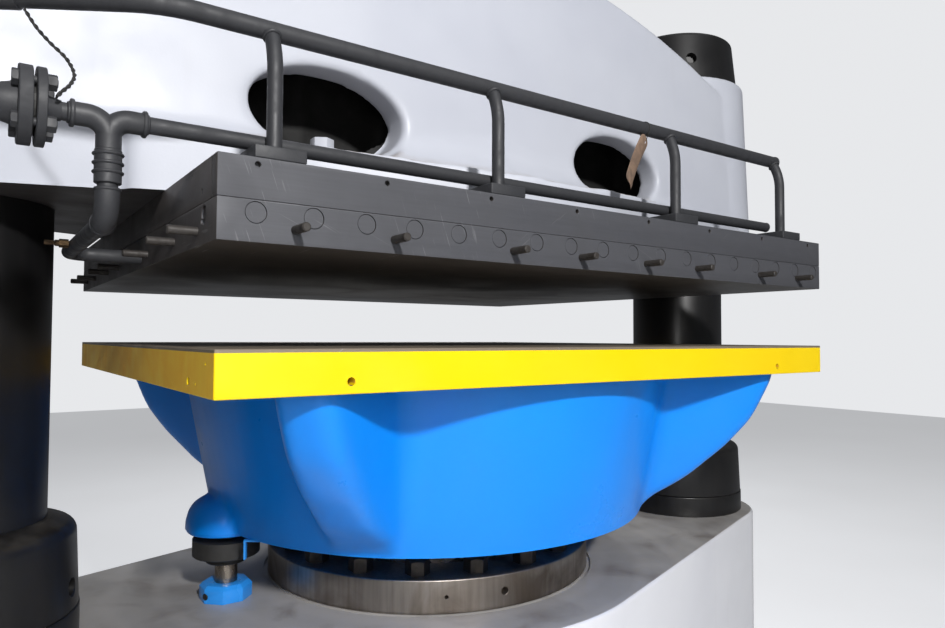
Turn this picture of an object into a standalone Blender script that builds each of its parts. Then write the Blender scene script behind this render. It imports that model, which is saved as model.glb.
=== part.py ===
"""A two-column platen press with an upstroke table, at rest with its table part way up.

Metres, +Z up. The origin is on the floor under the middle of the press, +X runs along the
line of the two columns, and -Y is the front. The table body carries the ram and rises along Z.
"""

import math

import bmesh
import bpy
from mathutils import Matrix, Vector

# Fits that every piece shares
GAP = 0.0003  # between faces that touch
OVERRUN = 0.01  # how far a cutter passes the face it opens
BITE = 0.004  # how deep one joined shape reaches into another

# Facets
BIG_SIDES = 36
MID_SIDES = 20
PIPE_SIDES = 12
SMALL_SIDES = 10
STUD_SIDES = 8
HEX_SIDES = 6
PIPE_RESOLUTION = 4
WIRE_RESOLUTION = 2
BEND_STEPS = 4
CORNER_STEPS = 2
END_ARC_STEPS = 14
MIDDLE_ARC_STEPS = 6

# Columns and their nuts
COLUMN_SPACING = 2.47
COLUMN_RADIUS = 0.18
COLUMN_EDGE = 0.006
COLUMN_RECESS = 0.006  # below the top nut's face
FOOT_NUT_RADIUS = 0.235
FOOT_NUT_HEIGHT = 0.10
FOOT_POCKET_DEPTH = 0.13
FOOT_POCKET_CLEARANCE = 0.012
BASE_RING_RADIUS = 0.25
BASE_RING_HEIGHT = 0.075
BASE_RING_EDGE = 0.003
BASE_NUT_RADIUS = 0.2478
BASE_NUT_TOP_RADIUS = 0.222
BASE_NUT_HEIGHT = 0.205
BASE_NUT_ROUND = 0.022
BASE_NUT_SHOULDER = 0.012  # rise of the sloped top towards the column
TOP_NUT_RADIUS = 0.246
TOP_NUT_TOP_RADIUS = 0.229
TOP_NUT_HEIGHT = 0.18
TOP_NUT_ROUND = 0.014
SPANNER_HOLE_RADIUS = 0.02
SPANNER_HOLE_DEPTH = 0.03
BASE_HOLE_HEIGHT = 0.052  # above the nut's lower face
TOP_HOLE_HEIGHT = 0.085
BASE_HOLE_TURNS = (-24.0, 200.0)  # degrees from +X, left and right column
TOP_HOLE_TURNS = (-40.0, 212.0)

# Base casting, cylinder and gland
BASE_HEIGHT = 0.80
BASE_MIDDLE_RADIUS = 0.675
BASE_END_RADIUS = 0.295
BASE_EDGE = 0.012
BASE_FLOOR = 0.10
GROOVE_WIDTH = 0.012
GROOVE_DEPTH = 0.006
CYLINDER_RADIUS = 0.41
CYLINDER_BOTTOM = 0.06
RAM_RADIUS = 0.36
RAM_CLEARANCE = 0.0006
RAM_FLOOR_CLEARANCE = 0.0887  # from the cylinder's floor to the ram's foot, at rest
RAM_EDGE = 0.008
PACKING_WIDTH = 0.025
PACKING_HEIGHT = 0.08
GLAND_RADIUS = 0.497
GLAND_HEIGHT = 0.085
GLAND_EDGE = 0.004
GLAND_NUT_COUNT = 18
GLAND_NUT_FLATS = 0.065
GLAND_NUT_HEIGHT = 0.036
GLAND_NUT_CIRCLE = 0.44  # radius of the ring of nuts
GLAND_NUT_TURN = 4.0  # degrees of the first nut
GLAND_HOLE_RADIUS = 0.01
GLAND_TAP_RADIUS = 0.0045
GLAND_HOLE_DEPTH = 0.04
GLAND_HOLE_TURN = 261.0
GLAND_TAP_TURN = 243.0

# Table: plate, casting, guides
TABLE_LENGTH = 1.80
TABLE_WIDTH = 1.60
TABLE_THICKNESS = 0.08
TABLE_EDGE = 0.0015
TABLE_STANDOFF = 0.104  # from the gland ring's top to the casting's underside, at rest
CASTING_HEIGHT = 0.403
DRUM_BOTTOM_RADIUS = 0.662
DRUM_TOP_RADIUS = 0.735
DRUM_ROUND = 0.03
HORN_ANGLE = 41.6  # degrees of the corner horns from the X axis
HORN_REACH = 1.04  # at the plate
HORN_ARC_STEPS = 6
# The crest of a horn: share of the casting's height, then share of the way from drum to reach
HORN_CREST_SHARES = (
    (0.0, 0.0), (0.03, 0.02), (0.11, 0.12), (0.24, 0.26), (0.38, 0.42),
    (0.55, 0.60), (0.76, 0.81), (1.0, 1.0),
)
# Across a horn: share of its half width, then share of its height over the drum
HORN_SIDE_SHARES = (
    (1.0, 0.0), (0.66, 0.045), (0.42, 0.19), (0.30, 0.44), (0.22, 0.76), (0.13, 0.95), (0.0, 1.0),
)
HORN_HALF_WIDTH = 0.15
EDGE_HOLE_RADIUS = 0.008
EDGE_HOLE_DEPTH = 0.03
EDGE_HOLE_HEIGHT = 0.022  # above the plate's underside
EDGE_HOLE_INSET = 0.235  # from each end of the front and back edge
SIDE_HOLE_INSET = 0.16
PIN_HOLE_RADIUS = 0.003
PIN_HOLE_INSETS = (0.05, 0.11)
PIN_HOLE_HEIGHTS = (0.055, 0.02)
GUIDE_SPACING = 1.28
GUIDE_RADIUS = 0.029
GUIDE_LENGTH = 0.42
GUIDE_SOCKET = 0.05
GUIDE_EDGE = 0.003
GUIDE_BORE_CLEARANCE = 0.002
GUIDE_BORE_SPARE = 0.08
GUIDE_BOSS_RADIUS = 0.104
GUIDE_BOSS_DROP = 0.03
GUIDE_BOSS_RISE = 0.085
GUIDE_BOSS_ROUND = 0.015
# The boss's shoulder: share of its radius, then share of its rise above the drum's underside
GUIDE_BOSS_SHARES = (
    (0.35, 1.0), (0.60, 0.93), (0.80, 0.78), (0.93, 0.55), (1.0, 0.22),
)
BUSH_RADIUS = 0.086
BUSH_HEIGHT = 0.044
BUSH_EDGE = 0.004
BUSH_STEP_RADIUS = 0.052
BUSH_STEP_HEIGHT = 0.019
COLLAR_FLATS = 0.124
COLLAR_HEIGHT = 0.043
COLLAR_SIDES = 8
COLLAR_CHAMFER = 0.009
COLLAR_SCREW_RADIUS = 0.009
COLLAR_SCREW_LENGTH = 0.03
COLLAR_SCREW_HEAD = 0.004
COLLAR_SCREW_TURN = 202.5
FINGER_WIDTH = 0.013
FINGER_THICKNESS = 0.005
FINGER_REACH = 0.054
FINGER_FOOT = 0.05
FINGER_DROP = 0.049
FINGER_TURN = 198.0  # degrees from +X to the place on the drum's rim
FINGER_SWING = 144.0  # degrees from +X that the finger points

# Heated upper platen
DAYLIGHT = 0.173
PLATEN_LENGTH = 1.80
PLATEN_WIDTH = 1.60
HEATING_THICKNESS = 0.07
UPPER_THICKNESS = 0.07
PLATEN_EDGE = 0.0015
PLUG_COUNT = 18
PLUG_PITCH = 0.1
PLUG_SHIFT = 0.0125  # of the row from the platen's middle
PLUG_RADIUS = 0.0185
PLUG_SINK = 0.001
PLUG_HEIGHT = 0.049  # above the platen's underside
STUD_RADIUS = 0.0078
STUD_LENGTH = 0.05
STUD_HEIGHT = 0.026
STUD_SHARES = (0.072, 0.177, 0.332, 0.44)
STRIP_THICKNESS = 0.03
STRIP_HOLE_RADIUS = 0.0048
STRIP_HOLE_DEPTH = 0.012
STRIP_HOLE_COUNT = 8
STRIP_HOLE_INSET = 0.0649  # of the end holes from the strip's ends
STRIP_HOLE_DROP = 0.012
PORT_RADIUS = 0.016
PORT_INSET = 0.07
PORT_DEPTH = 0.004

# Crosshead casting
HEAD_MIDDLE_RADIUS = 0.675
HEAD_END_RADIUS = 0.297
HEAD_EDGE = 0.006
HEAD_STEP = 0.032  # that the flange's middle stands proud of its ends
HEAD_STEP_PLACE = 0.967
HEAD_STEP_ROUND = 0.018
HEAD_RIM_HEIGHT = 0.085  # of the flange at the middle
HEAD_RIM_RISE = 0.07  # more at the columns
HEAD_FLARE_HEIGHT = 0.28  # top of the flare at the middle
HEAD_FLARE_END_HEIGHT = 0.19
HEAD_FLARE_STEPS = 4
HEAD_HEIGHT = 0.885
HEAD_ARCH_DROP = 0.316  # of the arch at the columns
HEAD_ARCH_STEPS = 14
HEAD_WALL_MIDDLE = 0.345  # half thickness low down
HEAD_WALL_END = 0.293
HEAD_WALL_DRAFT = 0.04  # each side, over the head's height
HEAD_ROUND = 0.02
HEAD_ROUND_STEPS = 3
HEAD_BOSS_HEIGHT = 0.715
HEAD_BOSS_TOP_RADIUS = 0.263
HEAD_BOSS_EDGE = 0.006
WINDOW_PLACE = 0.515
WINDOW_HALF_WIDTH = 0.205
WINDOW_HALF_HEIGHT = 0.13
WINDOW_HEIGHT = 0.25  # of its centre over the underside
WINDOW_WALL = 0.095
WINDOW_ROUND = 0.014
WINDOW_SIDES = 20
CHAMBER_HALF_LENGTH = 0.30
CHAMBER_FLOOR = 0.19
CHAMBER_HEIGHT = 0.28
CHAMBER_ROUND = 0.05
CHAMBER_WEB = 0.05  # half thickness of the middle web
CLAMP_FLATS = 0.055
CLAMP_HEIGHT = 0.036
CLAMP_WASHER_RADIUS = 0.036
CLAMP_WASHER_HEIGHT = 0.006
CLAMP_PLACE = 0.46
CLAMP_INSET = 0.05  # from the wall's inner face

# Pipework
HEADER_RADIUS = 0.0168
HEADER_INSET = 0.0652  # behind the platen's front face
HEADER_RISE = 0.242  # over the platen's top
HEADER_BEND_OVERHANG = 0.072  # past the platen's end
HEADER_BEND_RADIUS = 0.2
HEADER_TAIL = 0.22
HEADER_TAIL_TURN = 149.0
HEADER_END_SPARE = 0.02
HEADER_CAP_RADIUS = 0.0198
HEADER_CAP_LENGTH = 0.11
DOWNCOMER_RADIUS = 0.0134
DOWNCOMER_INSETS = (0.1272, 0.6102)  # outer and inner ones, from the platen's ends
DOWNCOMER_SHIFT = -0.0225  # of the four from the platen's middle
DOWNCOMER_INSET = 0.038
DOWNCOMER_KNEE = 0.16  # height of the knee over the platen's top
DOWNCOMER_BEND = 0.11
BLOCK_LENGTH = 0.09
BLOCK_WIDTH = 0.10
BLOCK_HEIGHT = 0.022
BLOCK_INSET = 0.001
BLOCK_EDGE = 0.0015
RETURN_RADIUS = 0.0135
RETURN_RISE = 0.04  # over the platen's top
RETURN_END_SHORT = 0.03  # of the last downcomer
TEE_RADIUS = 0.0175
TEE_OVERHANG = 0.145  # past the platen's end
TEE_LENGTH = 0.106
TEE_BEND = 0.03
TEE_DROP = 0.048
TEE_WALL = 0.0012  # that the branch stands proud of the arms
TEE_RING_RADIUS = 0.021
TEE_RING_LENGTH = 0.006
UNION_RADIUS = 0.0195
UNION_RING_RADIUS = 0.0225
UNION_RING_HEIGHT = 0.006
UNION_RING_DROPS = (0.004, 0.018, 0.032)
UNION_HEIGHT = 0.052
DROP_RADIUS = 0.0155
DROP_BEND = 0.04
DROP_HEIGHT = 0.025  # of the back run over the platen's underside
DROP_INLET = -0.195  # where it turns into the platen
FITTING_PLACE = -0.377
FITTING_RADIUS = 0.0085
FITTING_NECK_RADIUS = 0.005
FITTING_NUT_LENGTH = 0.016
FITTING_LENGTH = 0.041
FLANGE_RADIUS = 0.0575
FLANGE_NECK = 0.031  # from the tee to the inner flange's face
FLANGE_THICKNESS = 0.013
FLANGE_OUTER_THICKNESS = 0.018
FLANGE_EDGE = 0.0015
GASKET_RADIUS = 0.034
GASKET_THICKNESS = 0.0035
BOLT_RADIUS = 0.006
BOLT_CIRCLE = 0.0425
BOLT_FLATS = 0.0195
BOLT_HEAD = 0.008
BOLT_NUT = 0.011
BOLT_TAIL = 0.006
BOLT_COUNT = 4
SUPPLY_NECK_RADIUS = 0.03
SUPPLY_NECK_LENGTH = 0.04
SUPPLY_RADIUS = 0.0215
SUPPLY_LENGTH = 0.15
SUPPLY_CAP_RADIUS = 0.027
SUPPLY_CAP_LENGTH = 0.025

# Wire and tag
WIRE_RADIUS = 0.0022
# From under the upper header's tail, out over the flange, to the end of a flange bolt
WIRE_PATH = (
    (-1.1525, -0.628, 2.0085), (-1.143, -0.640, 1.984), (-1.129, -0.655, 1.959), (-1.113, -0.672, 1.937),
    (-1.100, -0.690, 1.920), (-1.091, -0.715, 1.897), (-1.096, -0.742, 1.876), (-1.104, -0.758, 1.863),
    (-1.1092, -0.765, 1.856),
)
TAG_PLACE = 0.18
TAG_WIDTH = 0.058
TAG_HEIGHT = 0.14
TAG_THICKNESS = 0.0012
TAG_TURN = 47.0
TAG_DROP = 0.008  # below the header
TAG_CORNER = 0.012
TAG_HOLE_RADIUS = 0.004
TAG_HOLE_DROP = 0.009
STRING_RADIUS = 0.001
STRING_STEPS = 12

# Colours, with roughness and metallic value
WHITE = ((0.86, 0.88, 0.93), 0.25, 0.0)
BLACK = ((0.012, 0.012, 0.014), 0.38, 0.0)
DARK_STEEL = ((0.075, 0.08, 0.09), 0.5, 0.6)
PIPE_GREY = ((0.07, 0.074, 0.084), 0.5, 0.2)
BARE_STEEL = ((0.42, 0.38, 0.34), 0.35, 1.0)
BLUE = ((0.0, 0.18, 0.83), 0.25, 0.0)
LIGHT_BLUE = ((0.03, 0.28, 0.85), 0.3, 0.0)
YELLOW = ((1.0, 0.75, 0.0), 0.35, 0.0)
RUBBER = ((0.02, 0.02, 0.02), 0.7, 0.0)
BRASS = ((0.55, 0.42, 0.2), 0.35, 1.0)
CARD = ((0.32, 0.21, 0.13), 0.8, 0.0)

# Heights and places that follow from the sizes above
HALF_SPACING = COLUMN_SPACING / 2
GLAND_TOP = BASE_HEIGHT + GAP + GLAND_HEIGHT
CYLINDER_FLOOR = BASE_FLOOR + GAP + CYLINDER_BOTTOM
RAM_FOOT = CYLINDER_FLOOR + RAM_FLOOR_CLEARANCE
TABLE_UNDERSIDE = GLAND_TOP + TABLE_STANDOFF
CASTING_TOP = TABLE_UNDERSIDE + CASTING_HEIGHT
PLATE_BOTTOM = CASTING_TOP + GAP
PLATE_TOP = PLATE_BOTTOM + TABLE_THICKNESS
PLATEN_BOTTOM = PLATE_TOP + DAYLIGHT
UPPER_BOTTOM = PLATEN_BOTTOM + HEATING_THICKNESS + GAP
PLATEN_TOP = UPPER_BOTTOM + UPPER_THICKNESS
HEAD_BOTTOM = PLATEN_TOP + GAP
BOSS_TOP = HEAD_BOTTOM + HEAD_BOSS_HEIGHT
TOP_NUT_BOTTOM = BOSS_TOP + GAP
TOP_NUT_TOP = TOP_NUT_BOTTOM + TOP_NUT_HEIGHT
BASE_RING_BOTTOM = BASE_HEIGHT + GAP
BASE_NUT_BOTTOM = BASE_RING_BOTTOM + BASE_RING_HEIGHT + GAP
FOOT_NUT_TOP = FOOT_POCKET_DEPTH - GAP
COLUMN_BOTTOM = FOOT_NUT_TOP - FOOT_NUT_HEIGHT + COLUMN_RECESS
PLATEN_FRONT = -PLATEN_WIDTH / 2
HEADER_Y = PLATEN_FRONT + HEADER_INSET
HEADER_Z = PLATEN_TOP + HEADER_RISE
RETURN_Z = PLATEN_TOP + RETURN_RISE
TEE_BOTTOM = RETURN_Z - TEE_DROP
UNION_BOTTOM = TEE_BOTTOM - GAP - UNION_HEIGHT
TEE_PLACE = -PLATEN_LENGTH / 2 - TEE_OVERHANG
TEE_LEFT = TEE_PLACE - TEE_LENGTH / 2
TEE_RIGHT = TEE_PLACE + TEE_LENGTH / 2
FLANGE_PLACE = TEE_LEFT - FLANGE_NECK
HEADER_BEND_PLACE = -PLATEN_LENGTH / 2 - HEADER_BEND_OVERHANG
DOWNCOMER_OUTER, DOWNCOMER_INNER = (PLATEN_LENGTH / 2 - inset for inset in DOWNCOMER_INSETS)
DOWNCOMER_PLACES = tuple(
    DOWNCOMER_SHIFT + place
    for place in (-DOWNCOMER_OUTER, -DOWNCOMER_INNER, DOWNCOMER_INNER, DOWNCOMER_OUTER)
)


def clear_scene():
    for obj in list(bpy.data.objects):
        bpy.data.objects.remove(obj, do_unlink=True)


def collection(name):
    found = bpy.data.collections.new(name)
    bpy.context.scene.collection.children.link(found)
    return found


clear_scene()
PARTS = collection("platen_press")
CUTTERS = collection("cutters")
MATERIALS = {}


def material(name, finish):
    """The Principled material of this name, made once."""
    if name not in MATERIALS:
        colour, roughness, metallic = finish
        made = bpy.data.materials.new(name)
        made.use_nodes = True
        shader = made.node_tree.nodes["Principled BSDF"]
        shader.inputs["Base Color"].default_value = (*colour, 1.0)
        shader.inputs["Roughness"].default_value = roughness
        shader.inputs["Metallic"].default_value = metallic
        MATERIALS[name] = made
    return MATERIALS[name]


def add_object(name, mesh):
    """An object in the cutters' collection: finish() moves a part to its own."""
    obj = bpy.data.objects.new(name, mesh)
    CUTTERS.objects.link(obj)
    obj.hide_render = True
    obj.display_type = "WIRE"
    return obj


def finish(obj, name, look, parent=None):
    """Make a shape a part of the press: its name, its material and its body."""
    CUTTERS.objects.unlink(obj)
    PARTS.objects.link(obj)
    obj.hide_render = False
    obj.display_type = "TEXTURED"
    obj.name = name
    obj.data.materials.clear()
    obj.data.materials.append(material(look[0], look[1]))
    obj.parent = parent
    return obj


def from_bmesh(name, shape):
    mesh = bpy.data.meshes.new(name)
    bmesh.ops.recalc_face_normals(shape, faces=shape.faces)
    shape.to_mesh(mesh)
    shape.free()
    return add_object(name, mesh)


def as_mesh(obj):
    """The object with its modifiers, or a curve's tube, as one plain closed mesh."""
    bpy.context.view_layer.update()
    graph = bpy.context.evaluated_depsgraph_get()
    mesh = bpy.data.meshes.new_from_object(obj.evaluated_get(graph))
    shape = bmesh.new()
    shape.from_mesh(mesh)
    bmesh.ops.remove_doubles(shape, verts=shape.verts, dist=GAP / 10)
    shape.to_mesh(mesh)
    shape.free()
    made = add_object(obj.name, mesh)
    made.matrix_world = obj.matrix_world.copy()
    bpy.data.objects.remove(obj, do_unlink=True)
    return made


def boolean(obj, other, operation):
    step = obj.modifiers.new(operation.lower(), "BOOLEAN")
    step.object = other
    step.operation = operation
    step.solver = "EXACT"
    return obj


def cut(obj, *others):
    for other in others:
        boolean(obj, other, "DIFFERENCE")
    return obj


def join(obj, *others):
    for other in others:
        boolean(obj, other, "UNION")
    return obj


def round_edges(obj, width, segments=1, angle=40.0):
    step = obj.modifiers.new("edges", "BEVEL")
    step.width = width
    step.segments = segments
    step.limit_method = "ANGLE"
    step.angle_limit = math.radians(angle)
    step.harden_normals = False
    return obj


def box(low, high, name="box"):
    """A box between two corners."""
    low, high = Vector(low), Vector(high)
    shape = bmesh.new()
    bmesh.ops.create_cube(shape, size=1.0)
    size = high - low
    bmesh.ops.scale(shape, vec=size, verts=shape.verts)
    bmesh.ops.translate(shape, vec=(low + high) / 2, verts=shape.verts)
    return from_bmesh(name, shape)


def rods(places, radius, sides=SMALL_SIDES, top_radius=None, turn=0.0, name="rods"):
    """Cylinders, or cones, each from the first point of its pair to the second."""
    shape = bmesh.new()
    for start, end in places:
        start, end = Vector(start), Vector(end)
        along = end - start
        place = Matrix.Translation((start + end) / 2) @ along.to_track_quat("Z", "Y").to_matrix().to_4x4()
        bmesh.ops.create_cone(
            shape,
            cap_ends=True,
            segments=sides,
            radius1=radius,
            radius2=radius if top_radius is None else top_radius,
            depth=along.length,
            matrix=place @ Matrix.Rotation(math.radians(turn), 4, "Z"),
        )
    return from_bmesh(name, shape)


def turned(profile, sides=BIG_SIDES, ring=False, name="turned"):
    """A turned shape: (radius, height) from the top down the outer side; a ring closes on itself."""
    mesh = bpy.data.meshes.new(name)
    count = len(profile)
    edges = [(i, (i + 1) % count) for i in range(count if ring else count - 1)]
    mesh.from_pydata([(radius, 0.0, height) for radius, height in profile], edges, [])
    obj = add_object(name, mesh)
    screw = obj.modifiers.new("turn", "SCREW")
    screw.steps = sides
    screw.render_steps = sides
    screw.use_merge_vertices = True
    screw.merge_threshold = GAP / 10
    return as_mesh(obj)


def hex_radius(flats, sides=HEX_SIDES):
    return flats / 2 / math.cos(math.pi / sides)


def tube(points, radius, resolution=PIPE_RESOLUTION, cyclic=False, name="tube"):
    """A round tube or wire along the points."""
    curve = bpy.data.curves.new(name, "CURVE")
    curve.dimensions = "3D"
    curve.bevel_depth = radius
    curve.bevel_resolution = resolution
    curve.use_fill_caps = not cyclic
    spline = curve.splines.new("POLY")
    spline.points.add(len(points) - 1)
    for spot, point in zip(spline.points, points):
        spot.co = (*point, 1.0)
    spline.use_cyclic_u = cyclic
    return as_mesh(add_object(name, curve))


def bent_path(corners, radius, steps=BEND_STEPS):
    """The corners joined by straight runs, each inner corner taken by an arc of this radius."""
    corners = [Vector(corner) for corner in corners]
    path = [corners[0]]
    for before, corner, after in zip(corners, corners[1:], corners[2:]):
        back = (before - corner).normalized()
        on = (after - corner).normalized()
        half = back.angle(on) / 2
        reach = radius / math.tan(half)
        centre = corner + (back + on).normalized() * (radius / math.sin(half))
        first = corner + back * reach - centre
        last = corner + on * reach - centre
        swing = first.rotation_difference(last)
        for step in range(steps + 1):
            part = swing.copy()
            part.angle = swing.angle * step / steps
            path.append(centre + part @ first)
    path.append(corners[-1])
    return path


def prism(outline, low, high, name="prism"):
    """A flat outline, in X and Y, drawn out from one height to another."""
    curve = bpy.data.curves.new(name, "CURVE")
    curve.dimensions = "2D"
    curve.fill_mode = "BOTH"
    curve.extrude = (high - low) / 2
    spline = curve.splines.new("POLY")
    spline.points.add(len(outline) - 1)
    for spot, (x, y) in zip(spline.points, outline):
        spot.co = (x, y, 0.0, 1.0)
    spline.use_cyclic_u = True
    obj = add_object(name, curve)
    obj.location.z = (high + low) / 2
    return settle(as_mesh(obj))


def together(objs):
    """Separate bodies as one mesh, to cut or join in one step."""
    shape = bmesh.new()
    for obj in objs:
        shape.from_mesh(obj.data)
        bpy.data.objects.remove(obj, do_unlink=True)
    mesh = bpy.data.meshes.new("together")
    shape.to_mesh(mesh)
    shape.free()
    return add_object("together", mesh)


def settle(obj):
    """Put the object's placing into its mesh."""
    obj.data.transform(obj.matrix_world)
    obj.matrix_world = Matrix.Identity(4)
    return obj


def placed(obj, location=(0.0, 0.0, 0.0), turn=None):
    """Turn a shape about the origin, then move it."""
    if turn is not None:
        obj.data.transform(turn)
    obj.data.transform(Matrix.Translation(location))
    return obj


def about_z(degrees):
    return Matrix.Rotation(math.radians(degrees), 4, "Z")


def loft(rings, name="loft"):
    """A closed body through rings of as many points each, from the lowest to the highest."""
    shape = bmesh.new()
    made = [[shape.verts.new(point) for point in ring] for ring in rings]
    for below, above in zip(made, made[1:]):
        for i in range(len(below)):
            k = (i + 1) % len(below)
            shape.faces.new((below[i], below[k], above[k], above[i]))
    shape.faces.new(made[0][::-1])
    shape.faces.new(made[-1])
    return from_bmesh(name, shape)


def rounded_rectangle(half_x, half_y, corner, steps=CORNER_STEPS):
    """Corner points of a rectangle with round corners, about the origin."""
    points = []
    for quarter, (sign_x, sign_y) in enumerate(((1, 1), (-1, 1), (-1, -1), (1, -1))):
        for step in range(steps + 1):
            angle = math.pi / 2 * (quarter + step / steps)
            x = sign_x * (half_x - corner) + corner * math.cos(angle)
            y = sign_y * (half_y - corner) + corner * math.sin(angle)
            points.append((x, y))
    return points


def hull_outline(middle_radius, end_radius):
    """A circle in the middle and one on each column, wrapped by their common tangents."""
    slope = math.degrees(math.asin((middle_radius - end_radius) / HALF_SPACING))
    points = []

    def arc(centre, radius, start, end, steps):
        for step in range(steps + 1):
            angle = math.radians(start + (end - start) * step / steps)
            points.append((centre + radius * math.cos(angle), radius * math.sin(angle)))

    arc(HALF_SPACING, end_radius, slope - 90.0, 90.0 - slope, END_ARC_STEPS)
    arc(0.0, middle_radius, 90.0 - slope, 90.0 + slope, MIDDLE_ARC_STEPS)
    arc(-HALF_SPACING, end_radius, 90.0 + slope, 270.0 - slope, END_ARC_STEPS)
    arc(0.0, middle_radius, 270.0 - slope, 270.0 + slope, MIDDLE_ARC_STEPS)
    return points


def sides_of_press():
    """The name and the X sign of each side, left first."""
    return (("left", -1.0), ("right", 1.0))


def spanner_hole(radius, height, turn):
    """A cutter for the blind radial hole of a round nut whose wall is at this radius."""
    toward = Vector((math.cos(math.radians(turn)), math.sin(math.radians(turn)), 0.0))
    lift = Vector((0.0, 0.0, height))
    places = [(toward * (radius - SPANNER_HOLE_DEPTH) + lift, toward * (radius + OVERRUN) + lift)]
    return rods(places, SPANNER_HOLE_RADIUS, PIPE_SIDES, name="spanner_hole")


def base_casting():
    """The base: a boat-shaped block with bores for the columns, cylinder and guide rods."""
    outline = hull_outline(BASE_MIDDLE_RADIUS, BASE_END_RADIUS)
    body = as_mesh(round_edges(prism(outline, 0.0, BASE_HEIGHT, "base"), BASE_EDGE))
    high = BASE_HEIGHT + OVERRUN
    columns = rods(
        [
            ((sign * HALF_SPACING, 0.0, -OVERRUN), (sign * HALF_SPACING, 0.0, high))
            for _, sign in sides_of_press()
        ],
        COLUMN_RADIUS + GAP, BIG_SIDES,
    )
    pockets = rods(
        [
            ((sign * HALF_SPACING, 0.0, -OVERRUN), (sign * HALF_SPACING, 0.0, FOOT_POCKET_DEPTH))
            for _, sign in sides_of_press()
        ],
        FOOT_NUT_RADIUS + FOOT_POCKET_CLEARANCE, BIG_SIDES,
    )
    cylinder = rods([((0.0, 0.0, BASE_FLOOR), (0.0, 0.0, high))], CYLINDER_RADIUS + GAP, BIG_SIDES)
    socket = BASE_HEIGHT - GUIDE_SOCKET - GAP
    guides = rods(
        [
            ((sign * GUIDE_SPACING / 2, 0.0, socket), (sign * GUIDE_SPACING / 2, 0.0, high))
            for _, sign in sides_of_press()
        ],
        GUIDE_RADIUS + GAP, MID_SIDES,
    )
    inner, outer = GLAND_RADIUS, GLAND_RADIUS + GROOVE_WIDTH
    bed = BASE_HEIGHT - GROOVE_DEPTH
    groove = turned([(outer, high), (outer, bed), (inner, bed), (inner, high)], ring=True)
    cut(body, columns, pockets, cylinder, guides, groove)
    finish(body, "base_casting", ("base_white", WHITE), FRAME)


def columns_and_nuts():
    """The two columns, with the ring and nut on the base, the nut in its foot and the top nut."""
    steel = ("column_black", BLACK)
    bore = COLUMN_RADIUS + GAP
    top = TOP_NUT_TOP - COLUMN_RECESS
    for index, (side, sign) in enumerate(sides_of_press()):
        place = (sign * HALF_SPACING, 0.0, 0.0)
        column = turned([
            (0.0, top), (COLUMN_RADIUS - COLUMN_EDGE, top), (COLUMN_RADIUS, top - COLUMN_EDGE),
            (COLUMN_RADIUS, COLUMN_BOTTOM + COLUMN_EDGE), (COLUMN_RADIUS - COLUMN_EDGE, COLUMN_BOTTOM),
            (0.0, COLUMN_BOTTOM),
        ])
        finish(placed(column, place), "column_" + side, steel, FRAME)

        low, high = BASE_RING_BOTTOM, BASE_RING_BOTTOM + BASE_RING_HEIGHT
        ring = turned([
            (bore, high), (BASE_RING_RADIUS - BASE_RING_EDGE, high),
            (BASE_RING_RADIUS, high - BASE_RING_EDGE),
            (BASE_RING_RADIUS, low), (bore, low),
        ], ring=True)
        finish(placed(ring, place), "base_ring_" + side, steel, FRAME)

        low, high = BASE_NUT_BOTTOM, BASE_NUT_BOTTOM + BASE_NUT_HEIGHT
        shoulder = high - BASE_NUT_SHOULDER
        nut = turned(
            [(bore, high)]
            + rounded_corner(BASE_NUT_TOP_RADIUS, shoulder, BASE_NUT_ROUND)
            + [(BASE_NUT_RADIUS, low), (bore, low)],
            ring=True,
        )
        hole = spanner_hole(BASE_NUT_RADIUS, low + BASE_HOLE_HEIGHT, BASE_HOLE_TURNS[index])
        cut(placed(nut, place), placed(hole, place))
        finish(nut, "base_nut_" + side, steel, FRAME)

        low, high = FOOT_NUT_TOP - FOOT_NUT_HEIGHT, FOOT_NUT_TOP
        foot = turned([(bore, high), (FOOT_NUT_RADIUS, high), (FOOT_NUT_RADIUS, low), (bore, low)], ring=True)
        finish(placed(foot, place), "foot_nut_" + side, steel, FRAME)

        low, high = TOP_NUT_BOTTOM, TOP_NUT_TOP
        nut = turned(
            [(bore, high)]
            + rounded_corner(TOP_NUT_TOP_RADIUS, high, TOP_NUT_ROUND)
            + [(TOP_NUT_RADIUS, low), (bore, low)],
            ring=True,
        )
        hole = spanner_hole(TOP_NUT_RADIUS, low + TOP_HOLE_HEIGHT, TOP_HOLE_TURNS[index])
        cut(placed(nut, place), placed(hole, place))
        finish(nut, "top_nut_" + side, steel, FRAME)


def rounded_corner(radius, height, size, steps=CORNER_STEPS):
    """Points of a convex outer corner, from its top face to its side."""
    points = []
    for step in range(steps + 1):
        angle = math.pi / 2 * (1 - step / steps)
        points.append((radius - size + size * math.cos(angle), height - size + size * math.sin(angle)))
    return points


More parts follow.
